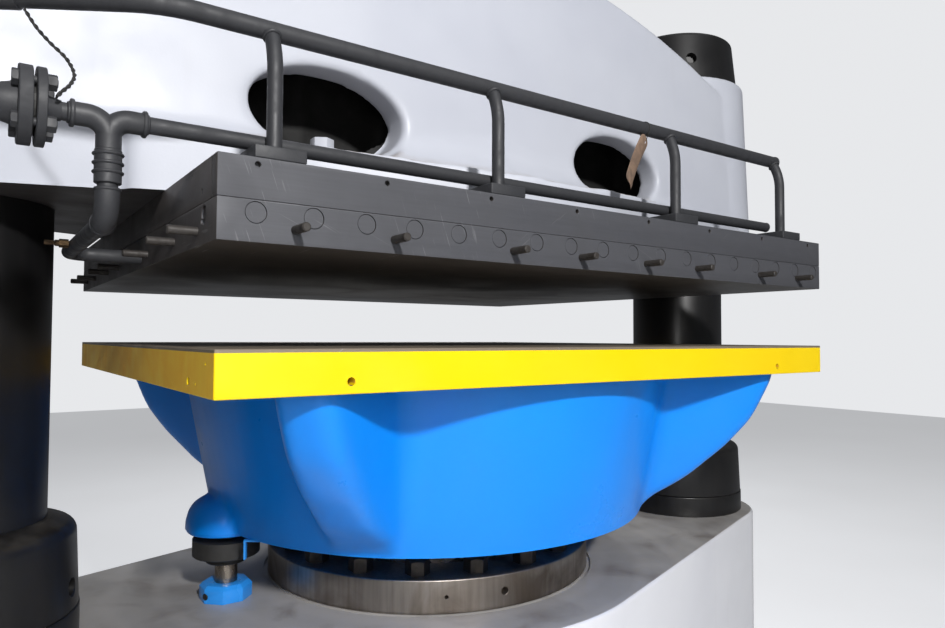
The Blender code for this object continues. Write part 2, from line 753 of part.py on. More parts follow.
def cylinder_and_gland():
    """The main cylinder, its packing, and the gland ring that is held down by a circle of nuts."""
    bore = RAM_RADIUS + RAM_CLEARANCE
    low, high = BASE_FLOOR + GAP, BASE_HEIGHT - GAP
    seat = high - PACKING_HEIGHT
    cylinder = turned([
        (0.0, CYLINDER_FLOOR), (bore, CYLINDER_FLOOR), (bore, seat),
        (bore + PACKING_WIDTH, seat), (bore + PACKING_WIDTH, high), (CYLINDER_RADIUS, high),
        (CYLINDER_RADIUS, low), (0.0, low),
    ])
    finish(cylinder, "main_cylinder", ("cylinder_steel", BARE_STEEL), FRAME)

    inner, outer = RAM_RADIUS + GAP, bore + PACKING_WIDTH - GAP
    packing = turned(
        [(inner, high - GAP), (outer, high - GAP), (outer, seat + GAP), (inner, seat + GAP)],
        ring=True,
    )
    finish(packing, "ram_packing", ("packing", RUBBER), FRAME)

    low, high = BASE_HEIGHT + GAP, GLAND_TOP
    gland = turned([
        (bore, high), (GLAND_RADIUS - GLAND_EDGE, high), (GLAND_RADIUS, high - GLAND_EDGE),
        (GLAND_RADIUS, low), (bore, low),
    ], ring=True)
    nuts = []
    for index in range(GLAND_NUT_COUNT):
        angle = math.radians(GLAND_NUT_TURN + 360.0 * index / GLAND_NUT_COUNT)
        spot = Vector((math.cos(angle), math.sin(angle), 0.0)) * GLAND_NUT_CIRCLE
        nuts.append((
            spot + Vector((0.0, 0.0, high - BITE)),
            spot + Vector((0.0, 0.0, high + GLAND_NUT_HEIGHT)),
        ))
    join(gland, rods(nuts, hex_radius(GLAND_NUT_FLATS), HEX_SIDES, name="gland_nuts"))
    for radius, turn in ((GLAND_HOLE_RADIUS, GLAND_HOLE_TURN), (GLAND_TAP_RADIUS, GLAND_TAP_TURN)):
        toward = Vector((math.cos(math.radians(turn)), math.sin(math.radians(turn)), 0.0))
        lift = Vector((0.0, 0.0, (low + high) / 2))
        hole = [(toward * (GLAND_RADIUS - GLAND_HOLE_DEPTH) + lift, toward * (GLAND_RADIUS + OVERRUN) + lift)]
        cut(gland, rods(hole, radius, SMALL_SIDES, name="gland_hole"))
    finish(gland, "gland_ring", ("gland_steel", BARE_STEEL), FRAME)


def drum_radius(share):
    """The drum's radius at a share of its height, with its rounded lower edge."""
    radius = DRUM_BOTTOM_RADIUS + (DRUM_TOP_RADIUS - DRUM_BOTTOM_RADIUS) * share
    rise = share * CASTING_HEIGHT
    if rise < DRUM_ROUND:
        radius -= DRUM_ROUND - math.sqrt(DRUM_ROUND**2 - (DRUM_ROUND - rise) ** 2)
    return radius


def horned_ring(drum, reach, height):
    """A circle of radius drum with a horn to each corner of the table, out to reach."""
    points = []
    side = [(share * HORN_HALF_WIDTH, rise) for share, rise in HORN_SIDE_SHARES]
    crest = [(-across, rise) for across, rise in side] + [(across, rise) for across, rise in side[-2::-1]]
    axes = [HORN_ANGLE, 180.0 - HORN_ANGLE, 180.0 + HORN_ANGLE, 360.0 - HORN_ANGLE]
    root = math.degrees(math.asin(HORN_HALF_WIDTH / DRUM_BOTTOM_RADIUS))
    for index, axis in enumerate(axes):
        along = Vector((math.cos(math.radians(axis)), math.sin(math.radians(axis)), 0.0))
        across_way = Vector((-along.y, along.x, 0.0))
        for across, rise in crest:
            spread = across * drum / DRUM_BOTTOM_RADIUS if rise == 0.0 else across
            out = math.sqrt(drum**2 - spread**2) + (reach - drum) * rise
            points.append(along * out + across_way * spread + Vector((0.0, 0.0, height)))
        following = axes[(index + 1) % len(axes)] + (360.0 if index == len(axes) - 1 else 0.0)
        start, end = axis + root, following - root
        for step in range(1, HORN_ARC_STEPS):
            angle = math.radians(start + (end - start) * step / HORN_ARC_STEPS)
            points.append(Vector((drum * math.cos(angle), drum * math.sin(angle), height)))
    return points


def table_casting():
    """The table's casting: a conical drum with four horns to the corners and two guide bosses."""
    rings = []
    for share, crest in HORN_CREST_SHARES:
        drum = drum_radius(share)
        reach = drum + (HORN_REACH - drum) * crest
        rings.append(horned_ring(drum, reach, TABLE_UNDERSIDE + share * CASTING_HEIGHT))
    body = loft(rings, "casting")
    low = TABLE_UNDERSIDE - GUIDE_BOSS_DROP
    bore_top = BASE_HEIGHT - GUIDE_SOCKET + GUIDE_LENGTH + GUIDE_BORE_SPARE
    shoulder = [
        (GUIDE_BOSS_RADIUS * share, TABLE_UNDERSIDE + GUIDE_BOSS_RISE * rise)
        for share, rise in GUIDE_BOSS_SHARES
    ]
    foot = [(GUIDE_BOSS_RADIUS, low + GUIDE_BOSS_ROUND / 2), (GUIDE_BOSS_RADIUS - GUIDE_BOSS_ROUND / 2, low)]
    bores, bosses = [], []
    for _, sign in sides_of_press():
        x = sign * GUIDE_SPACING / 2
        boss = turned([(0.0, shoulder[0][1])] + shoulder + foot + [(0.0, low)], MID_SIDES)
        bosses.append(placed(boss, (x, 0.0, 0.0)))
        bores.append(((x, 0.0, low - OVERRUN), (x, 0.0, bore_top)))
    join(body, together(bosses))
    cut(body, rods(bores, GUIDE_RADIUS + GUIDE_BORE_CLEARANCE, MID_SIDES, name="guide_bores"))
    finish(body, "table_casting", ("table_blue", BLUE), TABLE)


def edge_holes(length, width, height, inset, radius, depth):
    """Cutters for blind holes in the front and back edges, this far from each end."""
    places = []
    for sign_x in (-1.0, 1.0):
        for sign_y in (-1.0, 1.0):
            x = sign_x * (length / 2 - inset)
            places.append((
                (x, sign_y * (width / 2 - depth), height),
                (x, sign_y * (width / 2 + OVERRUN), height),
            ))
    return rods(places, radius, name="edge_holes")


def table_plate_and_ram():
    """The plate on the casting, and the ram under it."""
    half = Vector((TABLE_LENGTH / 2, TABLE_WIDTH / 2, 0.0))
    plate = box((-half.x, -half.y, PLATE_BOTTOM), (half.x, half.y, PLATE_TOP), "plate")
    plate = as_mesh(round_edges(plate, TABLE_EDGE))
    cut(plate, edge_holes(TABLE_LENGTH, TABLE_WIDTH, PLATE_BOTTOM + EDGE_HOLE_HEIGHT, EDGE_HOLE_INSET,
                          EDGE_HOLE_RADIUS, EDGE_HOLE_DEPTH))
    sides = [
        ((sign * (half.x - EDGE_HOLE_DEPTH), SIDE_HOLE_INSET - half.y, PLATE_BOTTOM + EDGE_HOLE_HEIGHT),
         (sign * (half.x + OVERRUN), SIDE_HOLE_INSET - half.y, PLATE_BOTTOM + EDGE_HOLE_HEIGHT))
        for _, sign in sides_of_press()
    ]
    pins = [
        ((sign * (half.x - EDGE_HOLE_DEPTH), inset - half.y, PLATE_BOTTOM + height),
         (sign * (half.x + OVERRUN), inset - half.y, PLATE_BOTTOM + height))
        for _, sign in sides_of_press()
        for inset, height in zip(PIN_HOLE_INSETS, PIN_HOLE_HEIGHTS)
    ]
    cut(plate, rods(sides, EDGE_HOLE_RADIUS), rods(pins, PIN_HOLE_RADIUS))
    finish(plate, "table_plate", ("table_yellow", YELLOW), TABLE)

    top = TABLE_UNDERSIDE - GAP
    ram = turned([
        (0.0, top), (RAM_RADIUS, top), (RAM_RADIUS, RAM_FOOT + RAM_EDGE), (RAM_RADIUS - RAM_EDGE, RAM_FOOT),
        (0.0, RAM_FOOT),
    ])
    finish(ram, "ram", ("ram_steel", BARE_STEEL), TABLE)


def guides():
    """Guide rods on the base with their clamp collars, and the bushes under the table."""
    bore = GUIDE_RADIUS + GAP
    for side, sign in sides_of_press():
        place = (sign * GUIDE_SPACING / 2, 0.0, 0.0)
        low = BASE_HEIGHT - GUIDE_SOCKET
        high = low + GUIDE_LENGTH
        rod = turned([
            (0.0, high), (GUIDE_RADIUS - GUIDE_EDGE, high), (GUIDE_RADIUS, high - GUIDE_EDGE),
            (GUIDE_RADIUS, low), (0.0, low),
        ], MID_SIDES)
        finish(placed(rod, place), "guide_rod_" + side, ("rod_steel", BARE_STEEL), FRAME)

        low = BASE_HEIGHT + GAP
        radius = hex_radius(COLLAR_FLATS, COLLAR_SIDES)
        high = low + COLLAR_HEIGHT
        neck = high - COLLAR_CHAMFER
        collar = rods([((0.0, 0.0, low), (0.0, 0.0, neck))], radius, COLLAR_SIDES, turn=180.0 / COLLAR_SIDES)
        crown = rods([((0.0, 0.0, neck - GAP), (0.0, 0.0, high))], radius, COLLAR_SIDES,
                     radius - COLLAR_CHAMFER, 180.0 / COLLAR_SIDES)
        hole = rods([((0.0, 0.0, low - OVERRUN), (0.0, 0.0, high + OVERRUN))], bore, MID_SIDES)
        for shape in (collar, crown, hole):
            placed(shape, place)
        cut(join(collar, crown), hole)
        turn = math.radians(COLLAR_SCREW_TURN)
        toward = Vector((math.cos(turn), math.sin(turn), 0.0))
        middle = Vector((place[0], 0.0, (low + neck) / 2))
        start = middle + toward * (COLLAR_FLATS / 2 - COLLAR_SCREW_LENGTH)
        wall = middle + toward * (COLLAR_FLATS / 2 + OVERRUN)
        cut(collar, rods([(start, wall)], COLLAR_SCREW_RADIUS + GAP, name="screw_hole"))
        finish(collar, "rod_collar_" + side, ("collar_blue", LIGHT_BLUE), FRAME)
        head = middle + toward * (COLLAR_FLATS / 2 + COLLAR_SCREW_HEAD)
        screw = rods([(start + toward * GAP, head)], COLLAR_SCREW_RADIUS, name="screw")
        finish(screw, "collar_screw_" + side, ("screw_black", BLACK), FRAME)

        high = TABLE_UNDERSIDE - GUIDE_BOSS_DROP - GAP
        low = high - BUSH_HEIGHT
        bush = turned([
            (bore, high), (BUSH_RADIUS, high), (BUSH_RADIUS, low + BUSH_EDGE), (BUSH_RADIUS - BUSH_EDGE, low),
            (BUSH_STEP_RADIUS, low), (BUSH_STEP_RADIUS, low - BUSH_STEP_HEIGHT),
            (bore, low - BUSH_STEP_HEIGHT),
        ], MID_SIDES, ring=True)
        finish(placed(bush, place), "guide_bush_" + side, ("bush_rubber", RUBBER), TABLE)


def trip_finger():
    """A bent strip under the drum's rim that hangs down beside the left bush."""
    inner, outer = -FINGER_FOOT, FINGER_REACH
    high, low = -GAP, -FINGER_DROP
    outline = [
        (inner, high), (inner, high - FINGER_THICKNESS), (outer - FINGER_THICKNESS, high - FINGER_THICKNESS),
        (outer - FINGER_THICKNESS, low), (outer, low), (outer, high),
    ]
    finger = prism(outline, -FINGER_WIDTH / 2, FINGER_WIDTH / 2, "finger")
    turn = math.radians(FINGER_TURN)
    rim = Vector((math.cos(turn), math.sin(turn), 0.0)) * (DRUM_BOTTOM_RADIUS - DRUM_ROUND)
    upright = Matrix.Rotation(math.pi / 2, 4, "X")
    placed(finger, rim + Vector((0.0, 0.0, TABLE_UNDERSIDE)), about_z(FINGER_SWING) @ upright)
    finish(finger, "trip_finger", ("finger_blue", LIGHT_BLUE), TABLE)


def stud_places():
    """Root and tip of each cover stud on the four edges of the heating platen."""
    places = []
    height = PLATEN_BOTTOM + STUD_HEIGHT
    shares = list(STUD_SHARES) + [1.0 - share for share in STUD_SHARES]
    for share in shares:
        for sign in (-1.0, 1.0):
            x, y = PLATEN_LENGTH * (share - 1 / 2), PLATEN_WIDTH * (share - 1 / 2)
            edge_x, edge_y = sign * (PLATEN_LENGTH / 2), sign * (PLATEN_WIDTH / 2)
            places.append(((x, edge_y - sign * BITE, height), (x, edge_y + sign * STUD_LENGTH, height)))
            places.append(((edge_x - sign * BITE, y, height), (edge_x + sign * STUD_LENGTH, y, height)))
    return places


def heating_platen():
    """The drilled heating plate, with its channel plugs and cover studs."""
    half = Vector((PLATEN_LENGTH / 2, PLATEN_WIDTH / 2, 0.0))
    high = PLATEN_BOTTOM + HEATING_THICKNESS
    plate = box((-half.x, -half.y, PLATEN_BOTTOM), (half.x, half.y, high), "heating")
    plate = as_mesh(round_edges(plate, PLATEN_EDGE))
    plugs = []
    for index in range(PLUG_COUNT):
        x = PLUG_SHIFT + (index - (PLUG_COUNT - 1) / 2) * PLUG_PITCH
        for sign in (-1.0, 1.0):
            plugs.append(((x, sign * (half.y - PLUG_SINK), PLATEN_BOTTOM + PLUG_HEIGHT),
                          (x, sign * (half.y + OVERRUN), PLATEN_BOTTOM + PLUG_HEIGHT)))
    ports = [
        ((sign * (half.x - PORT_DEPTH), PORT_INSET - half.y, PLATEN_BOTTOM + PLUG_HEIGHT),
         (sign * (half.x + OVERRUN), PORT_INSET - half.y, PLATEN_BOTTOM + PLUG_HEIGHT))
        for _, sign in sides_of_press()
    ]
    cut(plate, rods(plugs, PLUG_RADIUS, STUD_SIDES, name="plugs"), rods(ports, PORT_RADIUS, name="ports"))
    join(plate, rods(stud_places(), STUD_RADIUS, STUD_SIDES, name="studs"))
    finish(plate, "heating_platen", ("platen_grey", DARK_STEEL), FRAME)


def upper_plate_and_strip():
    """The plate over the heating platen, and the strip screwed to its front."""
    half = Vector((PLATEN_LENGTH / 2, PLATEN_WIDTH / 2, 0.0))
    joint = STRIP_THICKNESS - half.y
    plate = box((-half.x, joint + GAP, UPPER_BOTTOM), (half.x, half.y, PLATEN_TOP), "upper")
    finish(round_edges(plate, PLATEN_EDGE), "upper_plate", ("platen_grey", DARK_STEEL), FRAME)

    strip = box((-half.x, -half.y, UPPER_BOTTOM), (half.x, joint, PLATEN_TOP), "strip")
    strip = as_mesh(round_edges(strip, PLATEN_EDGE))
    holes = []
    for index in range(STRIP_HOLE_COUNT):
        x = (half.x - STRIP_HOLE_INSET) * (2 * index / (STRIP_HOLE_COUNT - 1) - 1)
        height = PLATEN_TOP - STRIP_HOLE_DROP
        holes.append(((x, STRIP_HOLE_DEPTH - half.y, height), (x, -half.y - OVERRUN, height)))
    cut(strip, rods(holes, STRIP_HOLE_RADIUS, name="strip_holes"))
    finish(strip, "front_strip", ("platen_grey", DARK_STEEL), FRAME)


def head_wall(x, rise):
    """Half the thickness of the crosshead at this place and this rise over its underside."""
    middle = 1 - (x / HALF_SPACING) ** 2
    return HEAD_WALL_END + (HEAD_WALL_MIDDLE - HEAD_WALL_END) * middle - HEAD_WALL_DRAFT * rise / HEAD_HEIGHT


def flange_outline(middle_radius, end_radius, step=0.0):
    """A hull outline with a rounded step in each side, where its middle stands proud of its ends."""
    sunk = hull_outline(middle_radius, end_radius - step / 2)
    proud = hull_outline(middle_radius, end_radius + step / 2)
    size = len(sunk)

    def corner(end, middle):
        """Points of one step, from the end arc's last point to the middle arc's first."""
        low = Vector(sunk[end % size]).lerp(Vector(sunk[middle % size]), share_at(sunk, end, middle))
        high = Vector(proud[end % size]).lerp(Vector(proud[middle % size]), share_at(proud, end, middle))
        along = (Vector(proud[middle % size]) - Vector(proud[end % size])).normalized() * HEAD_STEP_ROUND
        if step == 0.0:
            return [low, low + along / 3, low + along * 2 / 3, low + along]
        out = (low - high).normalized() * HEAD_STEP_ROUND
        centre = high + out + along
        return [low, high + out, centre - (out + along).normalized() * HEAD_STEP_ROUND, high + along]

    def share_at(outline, end, middle):
        start, stop = abs(outline[end % size][0]), abs(outline[middle % size][0])
        return (start - HEAD_STEP_PLACE) / (start - stop)

    points, index = [], 0
    for _ in range(2):
        last = index + END_ARC_STEPS
        points += sunk[index:last + 1] + [tuple(spot) for spot in corner(last, last + 1)]
        index, last = last + 1, last + 1 + MIDDLE_ARC_STEPS
        points += proud[index:last + 1] + [tuple(spot) for spot in corner(last + 1, last)[::-1]]
        index = last + 1
    return points


def head_flange():
    """The crosshead's boat-shaped flange, flaring up into its walls."""
    outer = flange_outline(HEAD_MIDDLE_RADIUS, HEAD_END_RADIUS, HEAD_STEP)
    pulled = flange_outline(HEAD_MIDDLE_RADIUS - HEAD_EDGE, HEAD_END_RADIUS - HEAD_EDGE, HEAD_STEP)
    wall = flange_outline(HEAD_WALL_MIDDLE - BITE, HEAD_WALL_END - BITE - HEAD_EDGE)
    core = flange_outline(HEAD_WALL_MIDDLE / 2, HEAD_WALL_END / 2)
    rings = [
        [(x, y, HEAD_BOTTOM) for x, y in pulled],
        [(x, y, HEAD_BOTTOM + HEAD_EDGE) for x, y in outer],
    ]

    def along(x):
        return min(1.0, abs(x) / HALF_SPACING)

    for step in range(HEAD_FLARE_STEPS + 1):
        angle = math.pi / 2 * step / HEAD_FLARE_STEPS
        ring = []
        for (x0, y0), (x1, y1) in zip(outer, wall):
            rim = HEAD_RIM_HEIGHT + HEAD_RIM_RISE * along(x0)
            top = HEAD_FLARE_HEIGHT + (HEAD_FLARE_END_HEIGHT - HEAD_FLARE_HEIGHT) * along(x0)
            lift = rim + (top - rim) * (1 - math.cos(angle))
            inward = math.sin(angle)
            ring.append((x0 + (x1 - x0) * inward, y0 + (y1 - y0) * inward, HEAD_BOTTOM + lift))
        rings.append(ring)
    rings.append([(x, y, HEAD_BOTTOM + HEAD_FLARE_HEIGHT) for x, y in core])
    return loft(rings, "crosshead")


def head_arch():
    """The arched wall of the crosshead between the columns, as sections along X."""
    rings = []
    low = HEAD_RIM_HEIGHT
    for step in range(HEAD_ARCH_STEPS + 1):
        x = HALF_SPACING * (2 * step / HEAD_ARCH_STEPS - 1)
        high = HEAD_HEIGHT - HEAD_ARCH_DROP * (x / HALF_SPACING) ** 2
        side = [(head_wall(x, low), low)]
        for turn in range(HEAD_ROUND_STEPS + 1):
            angle = math.pi / 2 * turn / HEAD_ROUND_STEPS
            rise = high - HEAD_ROUND + HEAD_ROUND * math.sin(angle)
            side.append((head_wall(x, high) - HEAD_ROUND + HEAD_ROUND * math.cos(angle), rise))
        section = side + [(-y, rise) for y, rise in side[::-1]]
        rings.append([(x, y, HEAD_BOTTOM + rise) for y, rise in section])
    return loft(rings, "arch")


def head_openings(sign_x, sign_y):
    """Cutters for one oval window and the chamber behind it."""
    wall = sign_y * head_wall(WINDOW_PLACE, WINDOW_HEIGHT)
    inner = wall - sign_y * WINDOW_WALL
    centre_z = HEAD_BOTTOM + WINDOW_HEIGHT
    rings = []
    mouth = wall + sign_y * (HEAD_MIDDLE_RADIUS - HEAD_WALL_MIDDLE)
    for y, spread in ((mouth, WINDOW_ROUND), (wall, WINDOW_ROUND), (wall - sign_y * WINDOW_ROUND, 0.0),
                      (inner - sign_y * OVERRUN, 0.0)):
        reach, rise = WINDOW_HALF_WIDTH + spread, WINDOW_HALF_HEIGHT + spread
        turns = [2 * math.pi * i / WINDOW_SIDES for i in range(WINDOW_SIDES)]
        rings.append([
            (sign_x * WINDOW_PLACE + reach * math.cos(turn), y, centre_z + rise * math.sin(turn))
            for turn in turns
        ])
    window = loft(rings, "window")
    outline = rounded_rectangle(CHAMBER_HALF_LENGTH, CHAMBER_HEIGHT / 2, CHAMBER_ROUND)
    near, far = sorted((sign_y * CHAMBER_WEB, inner))
    chamber = prism(outline, near, far, "chamber")
    upright = Matrix.Rotation(math.pi / 2, 4, "X")
    flip = Matrix.Scale(-1.0, 4, (0.0, 1.0, 0.0))
    place = (sign_x * WINDOW_PLACE, 0.0, HEAD_BOTTOM + CHAMBER_FLOOR + CHAMBER_HEIGHT / 2)
    chamber.data.transform(flip @ upright)
    chamber.data.flip_normals()
    placed(chamber, place)
    return window, chamber


def crosshead():
    """The crosshead: flange, arched walls and column bosses cast in one, with its windows."""
    body = join(head_flange(), head_arch())
    bosses = []
    for _, sign in sides_of_press():
        place = (sign * HALF_SPACING, 0.0, 0.0)
        low = HEAD_BOTTOM + HEAD_EDGE + BITE
        boss = turned([
            (0.0, BOSS_TOP), (HEAD_BOSS_TOP_RADIUS - HEAD_BOSS_EDGE, BOSS_TOP),
            (HEAD_BOSS_TOP_RADIUS, BOSS_TOP - HEAD_BOSS_EDGE), (HEAD_END_RADIUS - GAP, low), (0.0, low),
        ])
        bosses.append(placed(boss, place))
    join(body, together(bosses))
    pairs = [head_openings(sign_x, sign_y) for sign_x in (-1.0, 1.0) for sign_y in (-1.0, 1.0)]
    cut(body, together([window for window, _ in pairs]), together([chamber for _, chamber in pairs]))
    bores = [
        ((sign * HALF_SPACING, 0.0, HEAD_BOTTOM - OVERRUN), (sign * HALF_SPACING, 0.0, BOSS_TOP + OVERRUN))
        for _, sign in sides_of_press()
    ]
    cut(body, rods(bores, COLUMN_RADIUS + GAP, BIG_SIDES, name="column_bores"))
    finish(body, "crosshead", ("head_white", WHITE), FRAME)

    low = HEAD_BOTTOM + CHAMBER_FLOOR + GAP
    for depth, sign_y in (("front", -1.0), ("rear", 1.0)):
        for side, sign_x in sides_of_press():
            inner = head_wall(CLAMP_PLACE, CHAMBER_FLOOR) - WINDOW_WALL - CLAMP_INSET
            x, y = sign_x * CLAMP_PLACE, sign_y * inner
            washer = rods([((x, y, low), (x, y, low + CLAMP_WASHER_HEIGHT))], CLAMP_WASHER_RADIUS, PIPE_SIDES)
            top = low + CLAMP_WASHER_HEIGHT + CLAMP_HEIGHT
            nut = rods([((x, y, low + GAP), (x, y, top))], hex_radius(CLAMP_FLATS), HEX_SIDES)
            join(washer, nut)
            finish(washer, f"clamp_bolt_{depth}_{side}", ("bolt_white", WHITE), FRAME)


def upper_manifold():
    """The upper header with its bent tail and the four downcomers welded to it."""
    last = DOWNCOMER_PLACES[-1] + HEADER_END_SPARE
    turn = math.radians(HEADER_TAIL_TURN)
    bend = Vector((HEADER_BEND_PLACE, HEADER_Y, HEADER_Z))
    tail = bend + Vector((math.cos(turn), math.sin(turn), 0.0)) * HEADER_TAIL
    header = tube(bent_path([tail, bend, (last, HEADER_Y, HEADER_Z)], HEADER_BEND_RADIUS), HEADER_RADIUS)
    y = PLATEN_FRONT + DOWNCOMER_INSET
    for x in DOWNCOMER_PLACES:
        path = bent_path([
            (x, HEADER_Y, HEADER_Z), (x, y, PLATEN_TOP + DOWNCOMER_KNEE),
            (x, y, PLATEN_TOP + GAP + BLOCK_HEIGHT + GAP),
        ], DOWNCOMER_BEND)
        join(header, tube(path, DOWNCOMER_RADIUS))
    finish(header, "upper_manifold", ("pipe_grey", PIPE_GREY), FRAME)

    outward = (tail - bend).normalized()
    start = tail + outward * GAP
    cap = rods([(start, start + outward * HEADER_CAP_LENGTH)], HEADER_CAP_RADIUS, PIPE_SIDES)
    finish(cap, "header_end_cap", ("pipe_grey", PIPE_GREY), FRAME)


def manifold_blocks():
    """The blocks on the platen that take the downcomers and carry the return header."""
    front = PLATEN_FRONT + BLOCK_INSET
    low = PLATEN_TOP + GAP
    for index, x in enumerate(DOWNCOMER_PLACES, start=1):
        block = box(
            (x - BLOCK_LENGTH / 2, front, low),
            (x + BLOCK_LENGTH / 2, front + BLOCK_WIDTH, low + BLOCK_HEIGHT),
        )
        finish(round_edges(block, BLOCK_EDGE), f"manifold_block_{index}", ("pipe_grey", PIPE_GREY), FRAME)


def return_line():
    """The lower header, the twin-elbow tee, its union and the pipe into the platen's side."""
    grey = ("pipe_grey", PIPE_GREY)
    last = DOWNCOMER_PLACES[-1] - RETURN_END_SHORT
    start = (TEE_RIGHT + GAP, HEADER_Y, RETURN_Z)
    header = rods([(start, (last, HEADER_Y, RETURN_Z))], RETURN_RADIUS, PIPE_SIDES)
    finish(header, "lower_header", grey, FRAME)

    centre = Vector((TEE_PLACE, HEADER_Y, RETURN_Z))
    foot = Vector((TEE_PLACE, HEADER_Y, TEE_BOTTOM))
    crotch = centre - Vector((0.0, 0.0, TEE_BEND - BITE))
    branch = rods([(foot, crotch)], TEE_RADIUS + TEE_WALL, PIPE_SIDES)
    arms = [
        tube(bent_path([(end, HEADER_Y, RETURN_Z), centre, foot + up], TEE_BEND), radius)
        for end, up, radius in (
            (TEE_LEFT, Vector((0.0, 0.0, BITE)), TEE_RADIUS),
            (TEE_RIGHT, Vector((0.0, 0.0, BITE / 2)), TEE_RADIUS + GAP),
        )
    ]
    rings = rods(
        [((TEE_LEFT, HEADER_Y, RETURN_Z), (TEE_LEFT + TEE_RING_LENGTH, HEADER_Y, RETURN_Z)),
         ((TEE_RIGHT - TEE_RING_LENGTH, HEADER_Y, RETURN_Z), (TEE_RIGHT, HEADER_Y, RETURN_Z))],
        TEE_RING_RADIUS, PIPE_SIDES,
    )
    finish(join(branch, arms[0], arms[1], rings), "sweep_tee", grey, FRAME)

    high = TEE_BOTTOM - GAP
    profile = [(0.0, high), (UNION_RADIUS, high)]
    for drop in UNION_RING_DROPS:
        crest = high - drop
        profile += [
            (UNION_RADIUS, crest), (UNION_RING_RADIUS, crest - UNION_RING_HEIGHT / 3),
            (UNION_RING_RADIUS, crest - UNION_RING_HEIGHT * 2 / 3), (UNION_RADIUS, crest - UNION_RING_HEIGHT),
        ]
    profile += [(UNION_RADIUS, UNION_BOTTOM), (0.0, UNION_BOTTOM)]
    union = turned(profile, PIPE_SIDES)
    finish(placed(union, (TEE_PLACE, HEADER_Y, 0.0)), "pipe_union", grey, FRAME)

    run = PLATEN_BOTTOM + DROP_HEIGHT
    drop = tube(bent_path([
        (TEE_PLACE, HEADER_Y, UNION_BOTTOM - GAP), (TEE_PLACE, HEADER_Y, run), (TEE_PLACE, DROP_INLET, run),
        (-PLATEN_LENGTH / 2 - GAP, DROP_INLET, run),
    ], DROP_BEND), DROP_RADIUS)
    finish(drop, "drop_pipe", grey, FRAME)

    wall = TEE_PLACE - DROP_RADIUS - GAP
    nut = rods([((wall, FITTING_PLACE, run), (wall - FITTING_NUT_LENGTH, FITTING_PLACE, run))],
               FITTING_RADIUS, HEX_SIDES)
    neck = rods([((wall - BITE, FITTING_PLACE, run), (wall - FITTING_LENGTH, FITTING_PLACE, run))],
                FITTING_NECK_RADIUS)
    finish(join(nut, neck), "drain_fitting", ("fitting_brass", BRASS), FRAME)


def flanges():
    """The bolted flange pair on the supply side, with its gasket, bolts and capped stub."""
    grey = ("pipe_grey", PIPE_GREY)
    y, z = HEADER_Y, RETURN_Z

    def disc(near, far, radius):
        return as_mesh(round_edges(rods([((near, y, z), (far, y, z))], radius, MID_SIDES), FLANGE_EDGE))

    inner_far = FLANGE_PLACE - FLANGE_THICKNESS
    gasket_near = inner_far - GAP
    gasket_far = gasket_near - GASKET_THICKNESS
    outer_near = gasket_far - GAP
    outer_far = outer_near - FLANGE_OUTER_THICKNESS
    bolt_rings = []
    bolts = []
    for index in range(BOLT_COUNT):
        angle = math.pi / BOLT_COUNT * (2 * index + 1)
        spot = Vector((0.0, y + BOLT_CIRCLE * math.cos(angle), z + BOLT_CIRCLE * math.sin(angle)))
        bolts.append(spot)
        bolt_rings.append((spot + Vector((FLANGE_PLACE + OVERRUN, 0.0, 0.0)),
                           spot + Vector((outer_far - OVERRUN, 0.0, 0.0))))
    inner = disc(FLANGE_PLACE, inner_far, FLANGE_RADIUS)
    join(inner, rods([((TEE_LEFT - GAP, y, z), (FLANGE_PLACE - BITE, y, z))], RETURN_RADIUS, PIPE_SIDES))
    cut(inner, rods(bolt_rings, BOLT_RADIUS + GAP, name="bolt_holes"))
    finish(inner, "inner_flange", grey, FRAME)

    gasket = rods([((gasket_near, y, z), (gasket_far, y, z))], GASKET_RADIUS, MID_SIDES)
    finish(gasket, "flange_gasket", ("gasket", RUBBER), FRAME)

    outer = disc(outer_near, outer_far, FLANGE_RADIUS)
    cut(outer, rods(bolt_rings, BOLT_RADIUS + GAP, name="bolt_holes"))
    finish(outer, "outer_flange", grey, FRAME)

    for index, spot in enumerate(bolts, start=1):
        nut_face, head_face = FLANGE_PLACE + GAP, outer_far - GAP

        def at(x):
            return spot + Vector((x, 0.0, 0.0))

        shank = rods([(at(head_face - BOLT_HEAD / 2), at(nut_face + BOLT_NUT + BOLT_TAIL))], BOLT_RADIUS)
        head = rods([(at(head_face), at(head_face - BOLT_HEAD))], hex_radius(BOLT_FLATS), HEX_SIDES)
        nut = rods([(at(nut_face), at(nut_face + BOLT_NUT))], hex_radius(BOLT_FLATS), HEX_SIDES)
        finish(join(shank, head, nut), f"flange_bolt_{index}", grey, FRAME)

    start = outer_far - GAP
    neck_end = start - SUPPLY_NECK_LENGTH
    end = start - SUPPLY_LENGTH
    stub = turned([
        (0.0, start), (SUPPLY_NECK_RADIUS, start), (SUPPLY_NECK_RADIUS, start - SUPPLY_NECK_LENGTH / 4),
        (SUPPLY_RADIUS, neck_end), (SUPPLY_RADIUS, end), (SUPPLY_CAP_RADIUS, end),
        (SUPPLY_CAP_RADIUS, end - SUPPLY_CAP_LENGTH), (0.0, end - SUPPLY_CAP_LENGTH),
    ], PIPE_SIDES)
    sideways = Matrix.Rotation(math.pi / 2, 4, "Y")
    placed(stub, (0.0, y, z), sideways)
    finish(stub, "supply_stub", grey, FRAME)


def bonding_wire():
    """The wire from the upper header's tail down to a flange bolt."""
    finish(tube(WIRE_PATH, WIRE_RADIUS, WIRE_RESOLUTION), "bonding_wire", ("wire_black", BLACK), FRAME)


